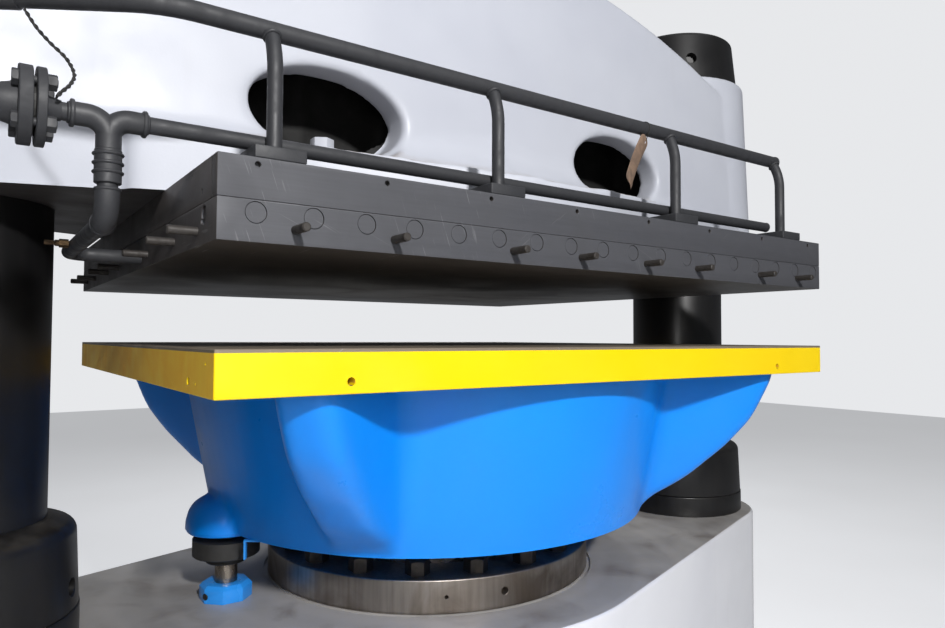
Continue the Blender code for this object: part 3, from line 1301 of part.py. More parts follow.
def hanging_tag():
    """The card tag and the string that holds it on the upper header."""
    outline = rounded_rectangle(TAG_WIDTH / 2, TAG_HEIGHT / 2, TAG_CORNER)
    card = prism(outline, -TAG_THICKNESS / 2, TAG_THICKNESS / 2, "tag")
    hole_z = TAG_HEIGHT / 2 - TAG_HOLE_DROP
    hole = rods([((0.0, hole_z, -OVERRUN), (0.0, hole_z, OVERRUN))], TAG_HOLE_RADIUS)
    top = HEADER_Z - HEADER_RADIUS - TAG_DROP
    turn = about_z(TAG_TURN) @ Matrix.Rotation(math.pi / 2, 4, "X")
    place = (TAG_PLACE, HEADER_Y, top - TAG_HEIGHT / 2)
    cut(placed(card, place, turn), placed(hole, place, turn))
    finish(card, "hanging_tag", ("tag_card", CARD), FRAME)

    reach = (HEADER_RADIUS + GAP + STRING_RADIUS) / math.cos(math.pi / STRING_STEPS)
    low = top - TAG_HOLE_DROP + TAG_HOLE_RADIUS - STRING_RADIUS - GAP
    wrap = math.acos(reach / (HEADER_Z - low))
    points = []
    for step in range(STRING_STEPS + 1):
        angle = wrap + (2 * math.pi - 2 * wrap) * step / STRING_STEPS
        points.append(Vector((0.0, -reach * math.sin(angle), HEADER_Z - reach * math.cos(angle))))
    turn = math.radians(TAG_TURN)
    spread = Vector((math.sin(turn), -math.cos(turn), 0.0)) * (TAG_THICKNESS / 2 + STRING_RADIUS + GAP)
    hole = Vector((0.0, 0.0, low))
    points += [hole - spread, hole, hole + spread]
    loop = [point + Vector((TAG_PLACE, HEADER_Y, 0.0)) for point in points]
    finish(tube(loop, STRING_RADIUS, WIRE_RESOLUTION, cyclic=True), "tag_string", ("string", CARD), FRAME)


FRAME = bpy.data.objects.new("frame_body", None)
PARTS.objects.link(FRAME)
TABLE = bpy.data.objects.new("table_lift_axis", None)
TABLE.empty_display_type = "SINGLE_ARROW"
PARTS.objects.link(TABLE)

base_casting()
columns_and_nuts()
cylinder_and_gland()
table_casting()
table_plate_and_ram()
guides()
trip_finger()
heating_platen()
upper_plate_and_strip()
crosshead()
upper_manifold()
manifold_blocks()
return_line()
flanges()
bonding_wire()
hanging_tag()
bpy.context.view_layer.update()
for part in PARTS.objects:
    if part.type == "MESH":
        part.data.shade_smooth()
        part.data.set_sharp_from_angle(angle=math.radians(35.0))
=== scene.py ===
"""The look of the two-column platen press: its castings, plates, pipework, finishes and studio."""

import logging
import math
from dataclasses import dataclass
from enum import Enum
from typing import Callable, Iterable, Sequence

import bmesh
import bpy
from mathutils import Matrix, Vector


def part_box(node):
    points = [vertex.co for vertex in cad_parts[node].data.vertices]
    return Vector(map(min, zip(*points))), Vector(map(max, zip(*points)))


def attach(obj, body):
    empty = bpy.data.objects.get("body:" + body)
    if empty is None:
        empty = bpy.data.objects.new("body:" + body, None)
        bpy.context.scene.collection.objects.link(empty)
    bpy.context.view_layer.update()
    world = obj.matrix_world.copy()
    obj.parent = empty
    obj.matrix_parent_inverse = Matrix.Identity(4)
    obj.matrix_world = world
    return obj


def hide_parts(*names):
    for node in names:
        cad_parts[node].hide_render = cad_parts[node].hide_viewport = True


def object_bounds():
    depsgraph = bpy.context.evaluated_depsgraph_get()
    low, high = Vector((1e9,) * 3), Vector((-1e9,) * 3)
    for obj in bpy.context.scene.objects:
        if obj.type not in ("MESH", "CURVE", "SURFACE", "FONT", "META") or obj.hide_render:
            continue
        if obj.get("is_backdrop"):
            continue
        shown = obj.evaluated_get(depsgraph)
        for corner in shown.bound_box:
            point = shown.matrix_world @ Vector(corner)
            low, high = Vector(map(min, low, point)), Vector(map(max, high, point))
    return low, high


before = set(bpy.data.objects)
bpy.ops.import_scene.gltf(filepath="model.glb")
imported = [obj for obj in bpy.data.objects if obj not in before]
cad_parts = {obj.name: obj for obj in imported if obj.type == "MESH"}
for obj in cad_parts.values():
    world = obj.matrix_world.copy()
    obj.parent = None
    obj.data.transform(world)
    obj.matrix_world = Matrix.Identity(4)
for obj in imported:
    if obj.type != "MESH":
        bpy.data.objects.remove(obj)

LOG = logging.getLogger("platen_press")
IMAGE_WIDTH = 945  # pixels, for the camera's focal length
SENSOR = 36.0
MERGE = 1e-5  # the distance within which points are doubles, metres
FIT_GAP = 0.0003  # between pieces that touch
RING_DEPTH = 0.00005  # of a lathe's marks
Shape = bmesh.types.BMesh
Piece = bpy.types.Object
Place = Sequence[float]
NODES: dict[str, Piece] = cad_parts
Socket = bpy.types.NodeSocket
Colour = tuple[float, float, float]
Ring = list[Vector]
Profile = list[tuple[float, float]]
SIDES: tuple[tuple[str, float], ...] = (("left", -1.0), ("right", 1.0))
ALONG, BACK, UP = Vector((1.0, 0.0, 0.0)), Vector((0.0, 1.0, 0.0)), Vector((0.0, 0.0, 1.0))


class Body(Enum):
    """The two bodies that pieces ride on."""

    FRAME = "frame"
    TABLE = "table"


class Slot(Enum):
    """The record's material slots."""

    WHITE = "white_paint"
    BLACK = "black_steel"
    DARK = "dark_steel"
    PIPE = "pipe_paint"
    BARE = "bare_steel"
    BLUE = "blue_paint"
    LIGHT_BLUE = "light_blue_paint"
    YELLOW = "yellow_paint"
    RUBBER = "black_rubber"
    BRASS = "brass"
    CARD = "card"


# ---- finishes ----


class Recipe:
    """The nodes of one material, joined by short calls. Patterns lie on Object coordinates."""

    def __init__(self, name: str, roughness: float, metallic: float = 0.0) -> None:
        """Start a material with one Principled shader.

        Args:
            name: the material's name.
            roughness: the shader's own roughness.
            metallic: the shader's own metallic value.
        """
        self.material = bpy.data.materials.new(name)
        self.material.use_nodes = True
        self.tree = self.material.node_tree
        self.shader = self.tree.nodes["Principled BSDF"]
        self.shader.inputs["Roughness"].default_value = roughness
        self.shader.inputs["Metallic"].default_value = metallic
        self.place = self.node("TexCoord", {}).outputs["Object"]

    def set(self, socket: Socket, value: object) -> None:
        """Link a socket, or give it a value."""
        if isinstance(value, bpy.types.NodeSocket):
            self.tree.links.new(value, socket)
        elif isinstance(value, tuple) and len(value) == 3 and socket.type == "RGBA":
            socket.default_value = (*value, 1.0)
        else:
            socket.default_value = value

    def node(self, kind: str, inputs: dict[str | int, object], **settings: object) -> bpy.types.Node:
        """Add a node.

        Args:
            kind: the node's type, without its usual beginning.
            inputs: the value or the link of each input that isn't left alone.
            settings: the node's own settings, which come first.

        Returns:
            The node.
        """
        made = self.tree.nodes.new("ShaderNode" + kind)
        for name, value in settings.items():
            setattr(made, name, value)
        for name, value in inputs.items():
            self.set(made.inputs[name], value)
        return made

    def upness(self) -> Socket:
        """How far the surface faces up, from -1 to 1."""
        normal = self.node("NewGeometry", {}).outputs["Normal"]
        return self.node("SeparateXYZ", {0: normal}).outputs["Z"]

    def noise(
        self, scale: float, detail: float = 4.0, warp: float = 0.0, stretch: Colour = (1.0, 1.0, 1.0)
    ) -> Socket:
        """A noise value.

        Args:
            scale: how many grains to a metre, about.
            detail: how many finer layers it has.
            warp: how far it is bent.
            stretch: the share of scale along each axis.

        Returns:
            The socket with the value, about 0.5 in the mean.
        """
        place = self.node("Mapping", {"Vector": self.place, "Scale": stretch}).outputs[0]
        inputs = {"Vector": place, "Scale": scale, "Detail": detail, "Distortion": warp}
        return self.node("TexNoise", inputs).outputs["Fac"]

    def rings(self, scale: float, warp: float, detail: float = 2.0) -> Socket:
        """A value that waves outward from the Z axis, like a lathe's marks."""
        inputs = {"Vector": self.place, "Scale": scale, "Distortion": warp, "Detail": detail}
        return self.node("TexWave", inputs, wave_type="RINGS", rings_direction="Z").outputs["Fac"]

    def remap(
        self, value: Socket, low: float, high: float, to_low: float = 0.0, to_high: float = 1.0
    ) -> Socket:
        """The value stretched from one range to another, and held inside it."""
        inputs = {"Value": value, "From Min": low, "From Max": high, "To Min": to_low, "To Max": to_high}
        return self.node("MapRange", inputs).outputs["Result"]

    def product(self, first: object, *others: object) -> Socket:
        """Values multiplied together."""
        for other in others:
            first = self.node("Math", {0: first, 1: other}, operation="MULTIPLY").outputs[0]
        return first

    def blend(self, share: object, first: object, second: object) -> Socket:
        """A colour between two, by a share."""
        return self.node("Mix", {"Factor": share, 6: first, 7: second}, data_type="RGBA").outputs[2]

    def scratches(self, length: float, share: float, turn: float, width: float = 0.003) -> Socket:
        """Short thin light lines on upright faces, all laid one way.

        Args:
            length: how long a line is, about, in metres.
            share: how much of the light colour shows.
            turn: the lines' slope, in degrees.
            width: how wide the grain across them is, in metres.

        Returns:
            The socket with the lines' share.
        """
        slope, size = (0.0, math.radians(turn), 0.0), (length, length, width)
        inputs = {"Vector": self.place, "Rotation": slope, "Scale": size}
        grain = self.node("Mapping", inputs, vector_type="TEXTURE").outputs[0]
        made = self.node("TexNoise", {"Vector": grain, "Scale": 1.0, "Detail": 1.0})
        line = self.remap(made.outputs["Fac"], 0.70, 0.76)
        patch = self.remap(self.noise(3.0 + abs(turn) * 0.02, 2.0), 0.50, 0.64)
        return self.product(line, patch, share)

    def bump(self, height: Socket, depth: float) -> None:
        """Lay a bump over what the shader has; depth is the height of 1, in metres."""
        made = self.node("Bump", {"Height": height, "Distance": depth})
        into = self.shader.inputs["Normal"]
        if into.is_linked:
            self.set(made.inputs["Normal"], into.links[0].from_socket)
        self.set(into, made.outputs[0])

    def done(self, colour: object, roughness: object = None) -> bpy.types.Material:
        """Give the shader its colour, and its roughness where that varies."""
        self.set(self.shader.inputs["Base Color"], colour)
        if roughness is not None:
            self.set(self.shader.inputs["Roughness"], roughness)
        return self.material


@dataclass(frozen=True)
class CastPaint:
    """Sprayed paint over a casting: orange peel, a slow wave, and dust where it faces up."""

    name: str
    colour: Colour
    shade: Colour
    roughness: float = 0.22
    peel: float = 0.00012
    wave: float = 0.0015
    dust: float = 0.0
    dust_colour: Colour = (0.30, 0.24, 0.18)
    stains: float = 0.0

    def material(self) -> bpy.types.Material:
        """Build the material."""
        made = Recipe(self.name, self.roughness)
        tone = made.blend(made.remap(made.noise(2.2, 3.0), 0.35, 0.7), self.colour, self.shade)
        if self.dust:
            lying = made.remap(made.upness(), 0.72, 0.97)
            grain = made.remap(made.noise(14.0, 8.0, 0.6), 0.30, 0.62)
            tone = made.blend(made.product(lying, grain, self.dust), tone, self.dust_colour)
        if self.stains:
            runs = made.remap(made.noise(9.0, 5.0, 0.3, (1.0, 1.0, 0.06)), 0.60, 0.78)
            tone = made.blend(made.product(runs, self.stains), tone, self.dust_colour)
        made.bump(made.noise(160.0, 2.0), self.peel)
        made.bump(made.noise(5.0, 1.0), self.wave)
        rough = made.remap(made.noise(7.0, 6.0), 0.3, 0.75, self.roughness * 0.8, self.roughness * 1.35)
        return made.done(tone, rough)


@dataclass(frozen=True)
class WorkedMetal:
    """Machined or painted steel with patina, tool marks, light scratches and dust."""

    name: str
    colour: Colour
    patina: Colour
    patina_share: float = 0.5
    metallic: float = 1.0
    roughness: float = 0.4
    grain: Colour = (1.0, 1.0, 1.0)
    grain_scale: float = 60.0
    grain_depth: float = 0.0001
    scratch: float = 0.0
    scratch_colour: Colour = (0.55, 0.55, 0.56)
    worn: float = 0.0
    worn_colour: Colour = (0.2, 0.2, 0.21)
    blotch: float = 6.0
    pitch: float = 0.0

    def material(self) -> bpy.types.Material:
        """Build the material."""
        made = Recipe(self.name, self.roughness, self.metallic)
        blotches = made.remap(made.noise(self.blotch, 7.0, 0.8), 0.36, 0.68)
        tone = made.blend(made.product(blotches, self.patina_share), self.colour, self.patina)
        streaks = made.noise(self.grain_scale, 3.0, 0.0, self.grain)
        tone = made.blend(made.remap(streaks, 0.35, 0.75, 0.0, 0.35), tone, self.patina)
        if self.scratch:
            for length, turn in ((0.16, 24.0), (0.10, -38.0), (0.07, 71.0)):
                tone = made.blend(made.scratches(length, self.scratch, turn), tone, self.scratch_colour)
        if self.worn:
            lying = made.remap(made.upness(), 0.35, 0.95)
            patch = made.remap(made.noise(18.0, 6.0), 0.42, 0.66)
            tone = made.blend(made.product(lying, patch, self.worn), tone, self.worn_colour)
        made.bump(streaks, self.grain_depth)
        if self.pitch:
            made.bump(made.rings(self.pitch, 2.0), RING_DEPTH)
        rough = made.remap(blotches, 0.0, 1.0, self.roughness * 0.85, min(1.0, self.roughness * 1.3))
        return made.done(tone, rough)


@dataclass(frozen=True)
class TurnedMetal(WorkedMetal):
    """Metal with fine circles about an upright axis, as a lathe or a boring mill leaves."""

    pitch: float = 500.0


@dataclass(frozen=True)
class MachinedFace:
    """The base's machined top: grey iron with smudges and the arcs of a facing cutter."""

    name: str = "machined_face"
    colour: Colour = (0.38, 0.365, 0.35)
    light: Colour = (0.50, 0.48, 0.46)
    dark: Colour = (0.22, 0.195, 0.18)

    def material(self) -> bpy.types.Material:
        """Build the material."""
        made = Recipe(self.name, 0.5, 0.2)
        smudges = made.remap(made.noise(3.2, 6.0, 1.2), 0.45, 0.72, 0.0, 0.6)
        oil = made.remap(made.noise(5.5, 7.0, 0.7), 0.50, 0.72, 0.0, 0.75)
        tone = made.blend(oil, made.blend(smudges, self.colour, self.light), self.dark)
        arcs = made.remap(made.rings(2.6, 1.5, 3.0), 0.55, 1.0, 0.0, 0.3)
        tone = made.blend(arcs, tone, self.light)
        made.bump(made.noise(90.0, 3.0), 0.00008)
        return made.done(tone, made.remap(made.noise(8.0, 5.0), 0.3, 0.7, 0.32, 0.6))


@dataclass(frozen=True)
class CardPaper:
    """The tag's brown card, with fibres and a grey stain."""

    name: str = "brown_card"
    colour: Colour = (0.22, 0.145, 0.10)
    stain: Colour = (0.11, 0.075, 0.055)

    def material(self) -> bpy.types.Material:
        """Build the material."""
        made = Recipe(self.name, 0.8)
        tone = made.blend(made.remap(made.noise(45.0, 6.0, 0.5), 0.45, 0.75), self.colour, self.stain)
        made.bump(made.noise(600.0, 4.0, 0.0, (1.0, 1.0, 0.2)), 0.00015)
        return made.done(tone)


FINISHES: dict[str, object] = {finish.name: finish for finish in (
    # Painted shade: head_white is a darker, bluish grey copy of the same white paint as base_white; its dust and
    # stains are real.
    CastPaint("head_white", (0.53, 0.55, 0.61), (0.48, 0.50, 0.565), 0.42, dust=0.85, stains=0.05),
    CastPaint("base_white", (0.82, 0.83, 0.87), (0.75, 0.76, 0.81), 0.2, wave=0.001, stains=0.06),
    MachinedFace(),
    WorkedMetal(
        "column_black", (0.006, 0.006, 0.0065), (0.015, 0.014, 0.014), metallic=0.0, roughness=0.36,
        grain=(1.0, 1.0, 0.02), grain_scale=40.0, worn=0.35, worn_colour=(0.08, 0.075, 0.07), blotch=3.0,
    ),
    WorkedMetal(
        "platen_steel", (0.068, 0.070, 0.080), (0.046, 0.047, 0.053), metallic=0.1, roughness=0.6,
        grain=(0.04, 0.04, 1.0), grain_scale=220.0, grain_depth=0.00006, scratch=0.13, blotch=4.0,
    ),
    WorkedMetal(
        "platen_side", (0.058, 0.052, 0.050), (0.034, 0.030, 0.029), metallic=0.1, roughness=0.6,
        grain=(1.0, 1.0, 0.03), grain_scale=110.0, scratch=0.1, blotch=5.0,
    ),
    WorkedMetal(
        "platen_face", (0.060, 0.052, 0.046), (0.035, 0.030, 0.027), metallic=0.3, roughness=0.35,
        grain=(0.02, 1.0, 1.0), grain_scale=80.0, scratch=0.3, blotch=3.0,
    ),
    WorkedMetal(
        "stud_steel", (0.045, 0.041, 0.038), (0.024, 0.019, 0.016), patina_share=0.9, metallic=0.2,
        roughness=0.55, grain_scale=260.0, blotch=60.0,
    ),
    WorkedMetal(
        "pipe_grey", (0.029, 0.030, 0.034), (0.016, 0.017, 0.020), metallic=0.0, roughness=0.58,
        grain_scale=300.0, grain_depth=0.00016, worn=0.4, worn_colour=(0.09, 0.09, 0.096), blotch=22.0,
    ),
    TurnedMetal(
        "gland_steel", (0.48, 0.44, 0.40), (0.10, 0.075, 0.055), patina_share=0.8, roughness=0.42,
        grain=(1.0, 1.0, 0.05), grain_scale=90.0, blotch=5.0,
    ),
    WorkedMetal(
        "nut_steel", (0.09, 0.08, 0.07), (0.03, 0.026, 0.022), metallic=0.7, roughness=0.5, blotch=25.0,
    ),
    TurnedMetal(
        "rod_steel", (0.40, 0.36, 0.31), (0.13, 0.10, 0.075), patina_share=0.8, roughness=0.28,
        grain=(1.0, 1.0, 0.3), grain_scale=50.0, blotch=30.0,
    ),
    CastPaint("casting_blue", (0.0, 0.27, 0.95), (0.0, 0.24, 0.88), 0.33, wave=0.002),
    CastPaint("collar_blue", (0.03, 0.30, 0.85), (0.02, 0.25, 0.75), 0.3, wave=0.0003),
    CastPaint("edge_yellow", (0.90, 0.64, 0.0), (0.86, 0.60, 0.0), 0.4, wave=0.0004),
    # The table top's warm brown is partly the steel's own tone and partly a painted reflection of brown
    # surroundings.
    WorkedMetal(
        "table_steel", (0.30, 0.25, 0.19), (0.18, 0.145, 0.11), metallic=0.3, roughness=0.4,
        grain=(0.03, 1.0, 1.0), grain_scale=120.0, scratch=0.5, blotch=3.0,
    ),
    WorkedMetal(
        "black_rubber", (0.014, 0.014, 0.014), (0.03, 0.029, 0.027), metallic=0.0, roughness=0.6, blotch=12.0,
    ),
    WorkedMetal(
        "dull_brass", (0.13, 0.085, 0.045), (0.05, 0.035, 0.025), patina_share=0.8, roughness=0.4,
        blotch=40.0,
    ),
    CardPaper(),
    # The crosshead's underside: a near-black brown for bare iron, darkened further as painted shade.
    CastPaint("head_underside_shaded", (0.036, 0.031, 0.030), (0.022, 0.019, 0.018), 0.5),
    # Painted reflection: a warmer, oranger yellow for the plate's left and right sides, standing in for the brown
    # surroundings mirrored in them.
    WorkedMetal(
        "yellow_side_painted_reflection", (1.0, 0.66, 0.06), (0.90, 0.45, 0.05), patina_share=0.8, metallic=0.0, roughness=0.4,
        grain=(1.0, 1.0, 0.2), grain_scale=30.0, blotch=7.0,
    ),
    # Painted shade: near black for the insides of the crosshead's chambers, which are dark only because they lie in
    # shade.
    WorkedMetal(
        "cavity_painted_shade", (0.0055, 0.0053, 0.0052), (0.003, 0.003, 0.003), metallic=0.0, roughness=0.8,
        blotch=8.0,
    ),
)}
SLOT_FINISH: dict[Slot, str] = {
    Slot.WHITE: "head_white", Slot.BLACK: "column_black", Slot.DARK: "platen_steel",
    Slot.PIPE: "pipe_grey", Slot.BARE: "rod_steel", Slot.BLUE: "casting_blue",
    Slot.LIGHT_BLUE: "collar_blue", Slot.YELLOW: "edge_yellow", Slot.RUBBER: "black_rubber",
    Slot.BRASS: "dull_brass", Slot.CARD: "brown_card",
}
MADE: dict[str, bpy.types.Material] = {}


def finish_of(name: str) -> bpy.types.Material:
    """The material of a finish, made once."""
    if name not in MADE:
        MADE[name] = FINISHES[name].material()
    return MADE[name]


# ---- shapes ----


def healed(shape: Shape) -> Shape:
    """The shape with its doubles merged and its faces turned outward."""
    bmesh.ops.remove_doubles(shape, verts=shape.verts, dist=MERGE)
    bmesh.ops.recalc_face_normals(shape, faces=shape.faces)
    return shape


def capped(shape: Shape) -> Shape:
    """The shape with its open ends filled."""
    bmesh.ops.holes_fill(shape, edges=[edge for edge in shape.edges if edge.is_boundary], sides=0)
    return shape


def spun(shape: Shape, steps: int) -> Shape:
    """What the shape's points and edges draw when they go once round the Z axis."""
    bmesh.ops.spin(
        shape, geom=shape.verts[:] + shape.edges[:], cent=(0.0, 0.0, 0.0), axis=UP, angle=math.tau,
        steps=steps, use_merge=True,
    )
    return healed(shape)


def sliced(
    shape: Shape, place: Place, normal: Place, clear: bool = False
) -> Shape:
    """The shape with its faces split along a plane, and what lies past it cleared away if asked."""
    bmesh.ops.bisect_plane(
        shape, geom=shape.verts[:] + shape.edges[:] + shape.faces[:], plane_co=place, plane_no=normal,
        clear_outer=clear,
    )
    return shape


def turned(profile: Profile, steps: int = 96, closed: bool = False) -> Shape:
    """A turned shape about the Z axis.

    Args:
        profile: radius and height of each point, in order.
        steps: how many faces go round.
        closed: whether the profile closes on itself, as a ring's does.

    Returns:
        The closed shape.
    """
    shape = bmesh.new()
    spots = [shape.verts.new((radius, 0.0, height)) for radius, height in profile]
    for pair in zip(spots, spots[1:] + spots[:1] if closed else spots[1:]):
        shape.edges.new(pair)
    return spun(shape, steps)


def rod(start: Place, end: Place, radius: float, steps: int = 32) -> Shape:
    """A cylinder between two points."""
    first, last = Vector(start), Vector(end)
    along = last - first
    place = Matrix.Translation((first + last) / 2) @ along.to_track_quat("Z", "Y").to_matrix().to_4x4()
    shape = bmesh.new()
    bmesh.ops.create_cone(
        shape, cap_ends=True, segments=steps, radius1=radius, radius2=radius, depth=along.length, matrix=place
    )
    return shape


def block(low: Place, high: Place) -> Shape:
    """A box between two corners."""
    first, last = Vector(low), Vector(high)
    shape = bmesh.new()
    bmesh.ops.create_cube(shape, size=1.0)
    bmesh.ops.scale(shape, vec=last - first, verts=shape.verts)
    bmesh.ops.translate(shape, vec=(first + last) / 2, verts=shape.verts)
    return shape


def lofted(rings: Sequence[Ring]) -> Shape:
    """A closed body through rings of as many points each.

    Args:
        rings: the rings, from one end to the other.

    Returns:
        The body, a grid bent round the rings with its two ends filled.
    """
    around, along = len(rings[0]), len(rings) - 1
    shape = bmesh.new()
    bmesh.ops.create_grid(shape, x_segments=around, y_segments=along, size=0.5)
    for spot in shape.verts:
        ring = rings[round((spot.co.y + 0.5) * along)]
        spot.co = ring[round((spot.co.x + 0.5) * around) % around]
    return healed(capped(healed(shape)))


def soften(shape: Shape, width: float, segments: int = 2, angle: float = 30.0) -> Shape:
    """Round the edges that are sharper than an angle."""
    sharp = [
        edge for edge in shape.edges
        if len(edge.link_faces) == 2 and edge.calc_face_angle(0.0) > math.radians(angle)
    ]
    bmesh.ops.bevel(
        shape, geom=sharp, offset=width, segments=segments, profile=0.5, affect="EDGES", material=-1,
        clamp_overlap=True,
    )
    return shape


def copied(node: str) -> Shape:
    """A node's own mesh with its doubles merged and its flat faces made whole."""
    shape = bmesh.new()
    shape.from_mesh(NODES[node].data)
    bmesh.ops.remove_doubles(shape, verts=shape.verts, dist=MERGE)
    bmesh.ops.dissolve_limit(shape, angle_limit=math.radians(1.0), verts=shape.verts, edges=shape.edges)
    return shape


def merged(shapes: Iterable[Shape]) -> Shape:
    """Several shapes in one mesh, side by side."""
    whole = bmesh.new()
    for shape in shapes:
        holder = bpy.data.meshes.new("holder")
        shape.to_mesh(holder)
        shape.free()
        whole.from_mesh(holder)
        bpy.data.meshes.remove(holder)
    return whole


def linked(name: str, data: bpy.types.ID) -> Piece:
    """A new object in the scene."""
    made = bpy.data.objects.new(name, data)
    bpy.context.scene.collection.objects.link(made)
    return made


def solid(shape: Shape, name: str) -> Piece:
    """An object that holds a shape."""
    mesh = bpy.data.meshes.new(name)
    shape.to_mesh(mesh)
    shape.free()
    return linked(name, mesh)


def evaluated(obj: Piece) -> Piece:
    """Put an object's modifiers, or a curve's tube, into a plain mesh."""
    bpy.context.view_layer.update()
    mesh = bpy.data.meshes.new_from_object(obj.evaluated_get(bpy.context.evaluated_depsgraph_get()))
    name = obj.name
    made = linked(name + "_mesh", mesh)
    bpy.data.objects.remove(obj, do_unlink=True)
    made.name = name
    return made


def boolean(obj: Piece, tool: Shape, operation: str) -> Piece:
    """Cut an object with a shape, or join the shape to it."""
    other = solid(tool, "tool")
    step = obj.modifiers.new("boolean", "BOOLEAN")
    step.operation = operation
    step.solver = "EXACT"
    step.object = other
    made = evaluated(obj)
    bpy.data.objects.remove(other, do_unlink=True)
    return made


def melted(obj: Piece, grain: float, passes: int) -> Piece:
    """Blend a casting's joints as poured metal does: an even skin, then smoothed."""
    skin = obj.modifiers.new("skin", "REMESH")
    skin.mode = "VOXEL"
    skin.voxel_size = grain
    ease = obj.modifiers.new("ease", "SMOOTH")
    ease.factor = 0.5
    ease.iterations = passes
    return evaluated(obj)


def trimmed(shape: Shape, level: float, way: float) -> Shape:
    """Cut a closed shape flat at a height.

    Args:
        shape: the shape.
        level: the height of the cut.
        way: 1.0 where what lies above goes, -1.0 where what lies below goes.

    Returns:
        The shape, closed again at the cut.
    """
    return capped(sliced(shape, (0.0, 0.0, level), (0.0, 0.0, way), True))


def shape_of(obj: Piece) -> Shape:
    """An object's mesh as a shape; the object is removed."""
    shape = bmesh.new()
    shape.from_mesh(obj.data)
    bpy.data.objects.remove(obj, do_unlink=True)
    return shape


def pipe(path: Sequence[Place], radius: float, resolution: int = 8) -> Shape:
    """A round pipe along points, with closed ends."""
    curve = bpy.data.curves.new("pipe", "CURVE")
    curve.dimensions = "3D"
    curve.bevel_depth = radius
    curve.bevel_resolution = resolution
    curve.use_fill_caps = True
    spline = curve.splines.new("POLY")
    spline.points.add(len(path) - 1)
    for spot, point in zip(spline.points, path):
        spot.co = (*point, 1.0)
    return healed(shape_of(evaluated(linked("pipe", curve))))


def bent_path(corners: Sequence[Place], radius: float, steps: int = 12) -> list[Vector]:
    """Corners joined by straight runs, each inner corner taken by an arc."""
    spots = [Vector(corner) for corner in corners]
    path = [spots[0]]
    for before, corner, after in zip(spots, spots[1:], spots[2:]):
        back, on = (before - corner).normalized(), (after - corner).normalized()
        half = back.angle(on) / 2
        reach = radius / math.tan(half)
        centre = corner + (back + on).normalized() * (radius / math.sin(half))
        first, last = corner + back * reach - centre, corner + on * reach - centre
        swing = first.rotation_difference(last)
        for step in range(steps + 1):
            part = swing.copy()
            part.angle = swing.angle * step / steps
            path.append(centre + part @ first)
    path.append(spots[-1])
    return path


def bead(centre: Place, axis: Place, radius: float, thickness: float) -> Shape:
    """A weld bead: a ring of round section about an axis."""
    shape = bmesh.new()
    bmesh.ops.create_circle(
        shape, cap_ends=False, segments=10, radius=thickness,
        matrix=Matrix.Translation((radius, 0.0, 0.0)) @ Matrix.Rotation(math.pi / 2, 4, "X"),
    )
    return aimed(spun(shape, 40), centre, axis)


def hull_outline(middle: float, end: float, spacing: float, end_steps: int, middle_steps: int) -> Profile:
    """A circle in the middle and one on each column, wrapped by their common tangents.

    Args:
        middle: radius of the middle circle.
        end: radius of the circles on the columns.
        spacing: distance from the middle to a column.
        end_steps: how many steps the arcs on the columns have.
        middle_steps: how many steps the middle's arcs have.

    Returns:
        The outline's points, X and Y.
    """
    slope = math.degrees(math.asin((middle - end) / spacing))
    points: Profile = []
    arcs = (
        (spacing, end, slope - 90.0, 90.0 - slope, end_steps),
        (0.0, middle, 90.0 - slope, 90.0 + slope, middle_steps),
        (-spacing, end, 90.0 + slope, 270.0 - slope, end_steps),
        (0.0, middle, 270.0 - slope, 270.0 + slope, middle_steps),
    )
    for centre, radius, start, stop, steps in arcs:
        for step in range(steps + 1):
            angle = math.radians(start + (stop - start) * step / steps)
            points.append((centre + radius * math.cos(angle), radius * math.sin(angle)))
    return points


def show(
    shape: Shape | Piece, name: str, body: Body, slot: Slot, nodes: Sequence[str] = (),
    finish: str | None = None, smooth: float = 32.0,
) -> Piece:
    """Make a finished piece.

    Args:
        shape: the piece's shape, or an object that holds it.
        name: the piece's name.
        body: the body it rides on.
        slot: the record's slot that its finish belongs to.
        nodes: the CAD nodes that it stands for.
        finish: its finish, where that isn't the slot's own.
        smooth: the angle, in degrees, past which an edge stays sharp.

    Returns:
        The piece.
    """
    made = solid(shape, name) if isinstance(shape, Shape) else shape
    made.name = name
    made.data.name = name
    made.data.shade_smooth()
    made.data.set_sharp_from_angle(angle=math.radians(smooth))
    made.data.materials.clear()
    made.data.materials.append(finish_of(finish or SLOT_FINISH[slot]))
    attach(made, body.value)
    if nodes:
        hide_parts(*nodes)
    LOG.info("%s: %d faces", name, len(made.data.polygons))
    return made


def repaint(made: Piece, finish: str, chosen: Callable[[bpy.types.MeshPolygon], bool]) -> None:
    """Give the chosen faces of a piece another finish."""
    made.data.materials.append(finish_of(finish))
    index = len(made.data.materials) - 1
    for face in made.data.polygons:
        if chosen(face):
            face.material_index = index


# ---- places in the frame ----


def low(node: str) -> Vector:
    """The lowest corner of a CAD node."""
    return Vector(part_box(node)[0])


def high(node: str) -> Vector:
    """The highest corner of a CAD node."""
    return Vector(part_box(node)[1])


def middle(node: str) -> Vector:
    """The middle of a CAD node's box."""
    return (low(node) + high(node)) / 2


def half_width(node: str) -> float:
    """Half a CAD node's width along X."""
    return (high(node).x - low(node).x) / 2


def moved(shape: Shape, by: Place) -> Shape:
    """The shape, moved."""
    bmesh.ops.translate(shape, vec=Vector(by), verts=shape.verts)
    return shape


def aimed(shape: Shape, origin: Place, toward: Place) -> Shape:
    """The shape with its Z axis turned along a direction, and then moved."""
    turn = Vector(toward).to_track_quat("Z", "Y").to_matrix().to_4x4()
    bmesh.ops.transform(shape, matrix=Matrix.Translation(Vector(origin)) @ turn, verts=shape.verts)
    return shape


def compass(degrees: float) -> Vector:
    """A level unit vector at this angle from +X."""
    return Vector((math.cos(math.radians(degrees)), math.sin(math.radians(degrees)), 0.0))


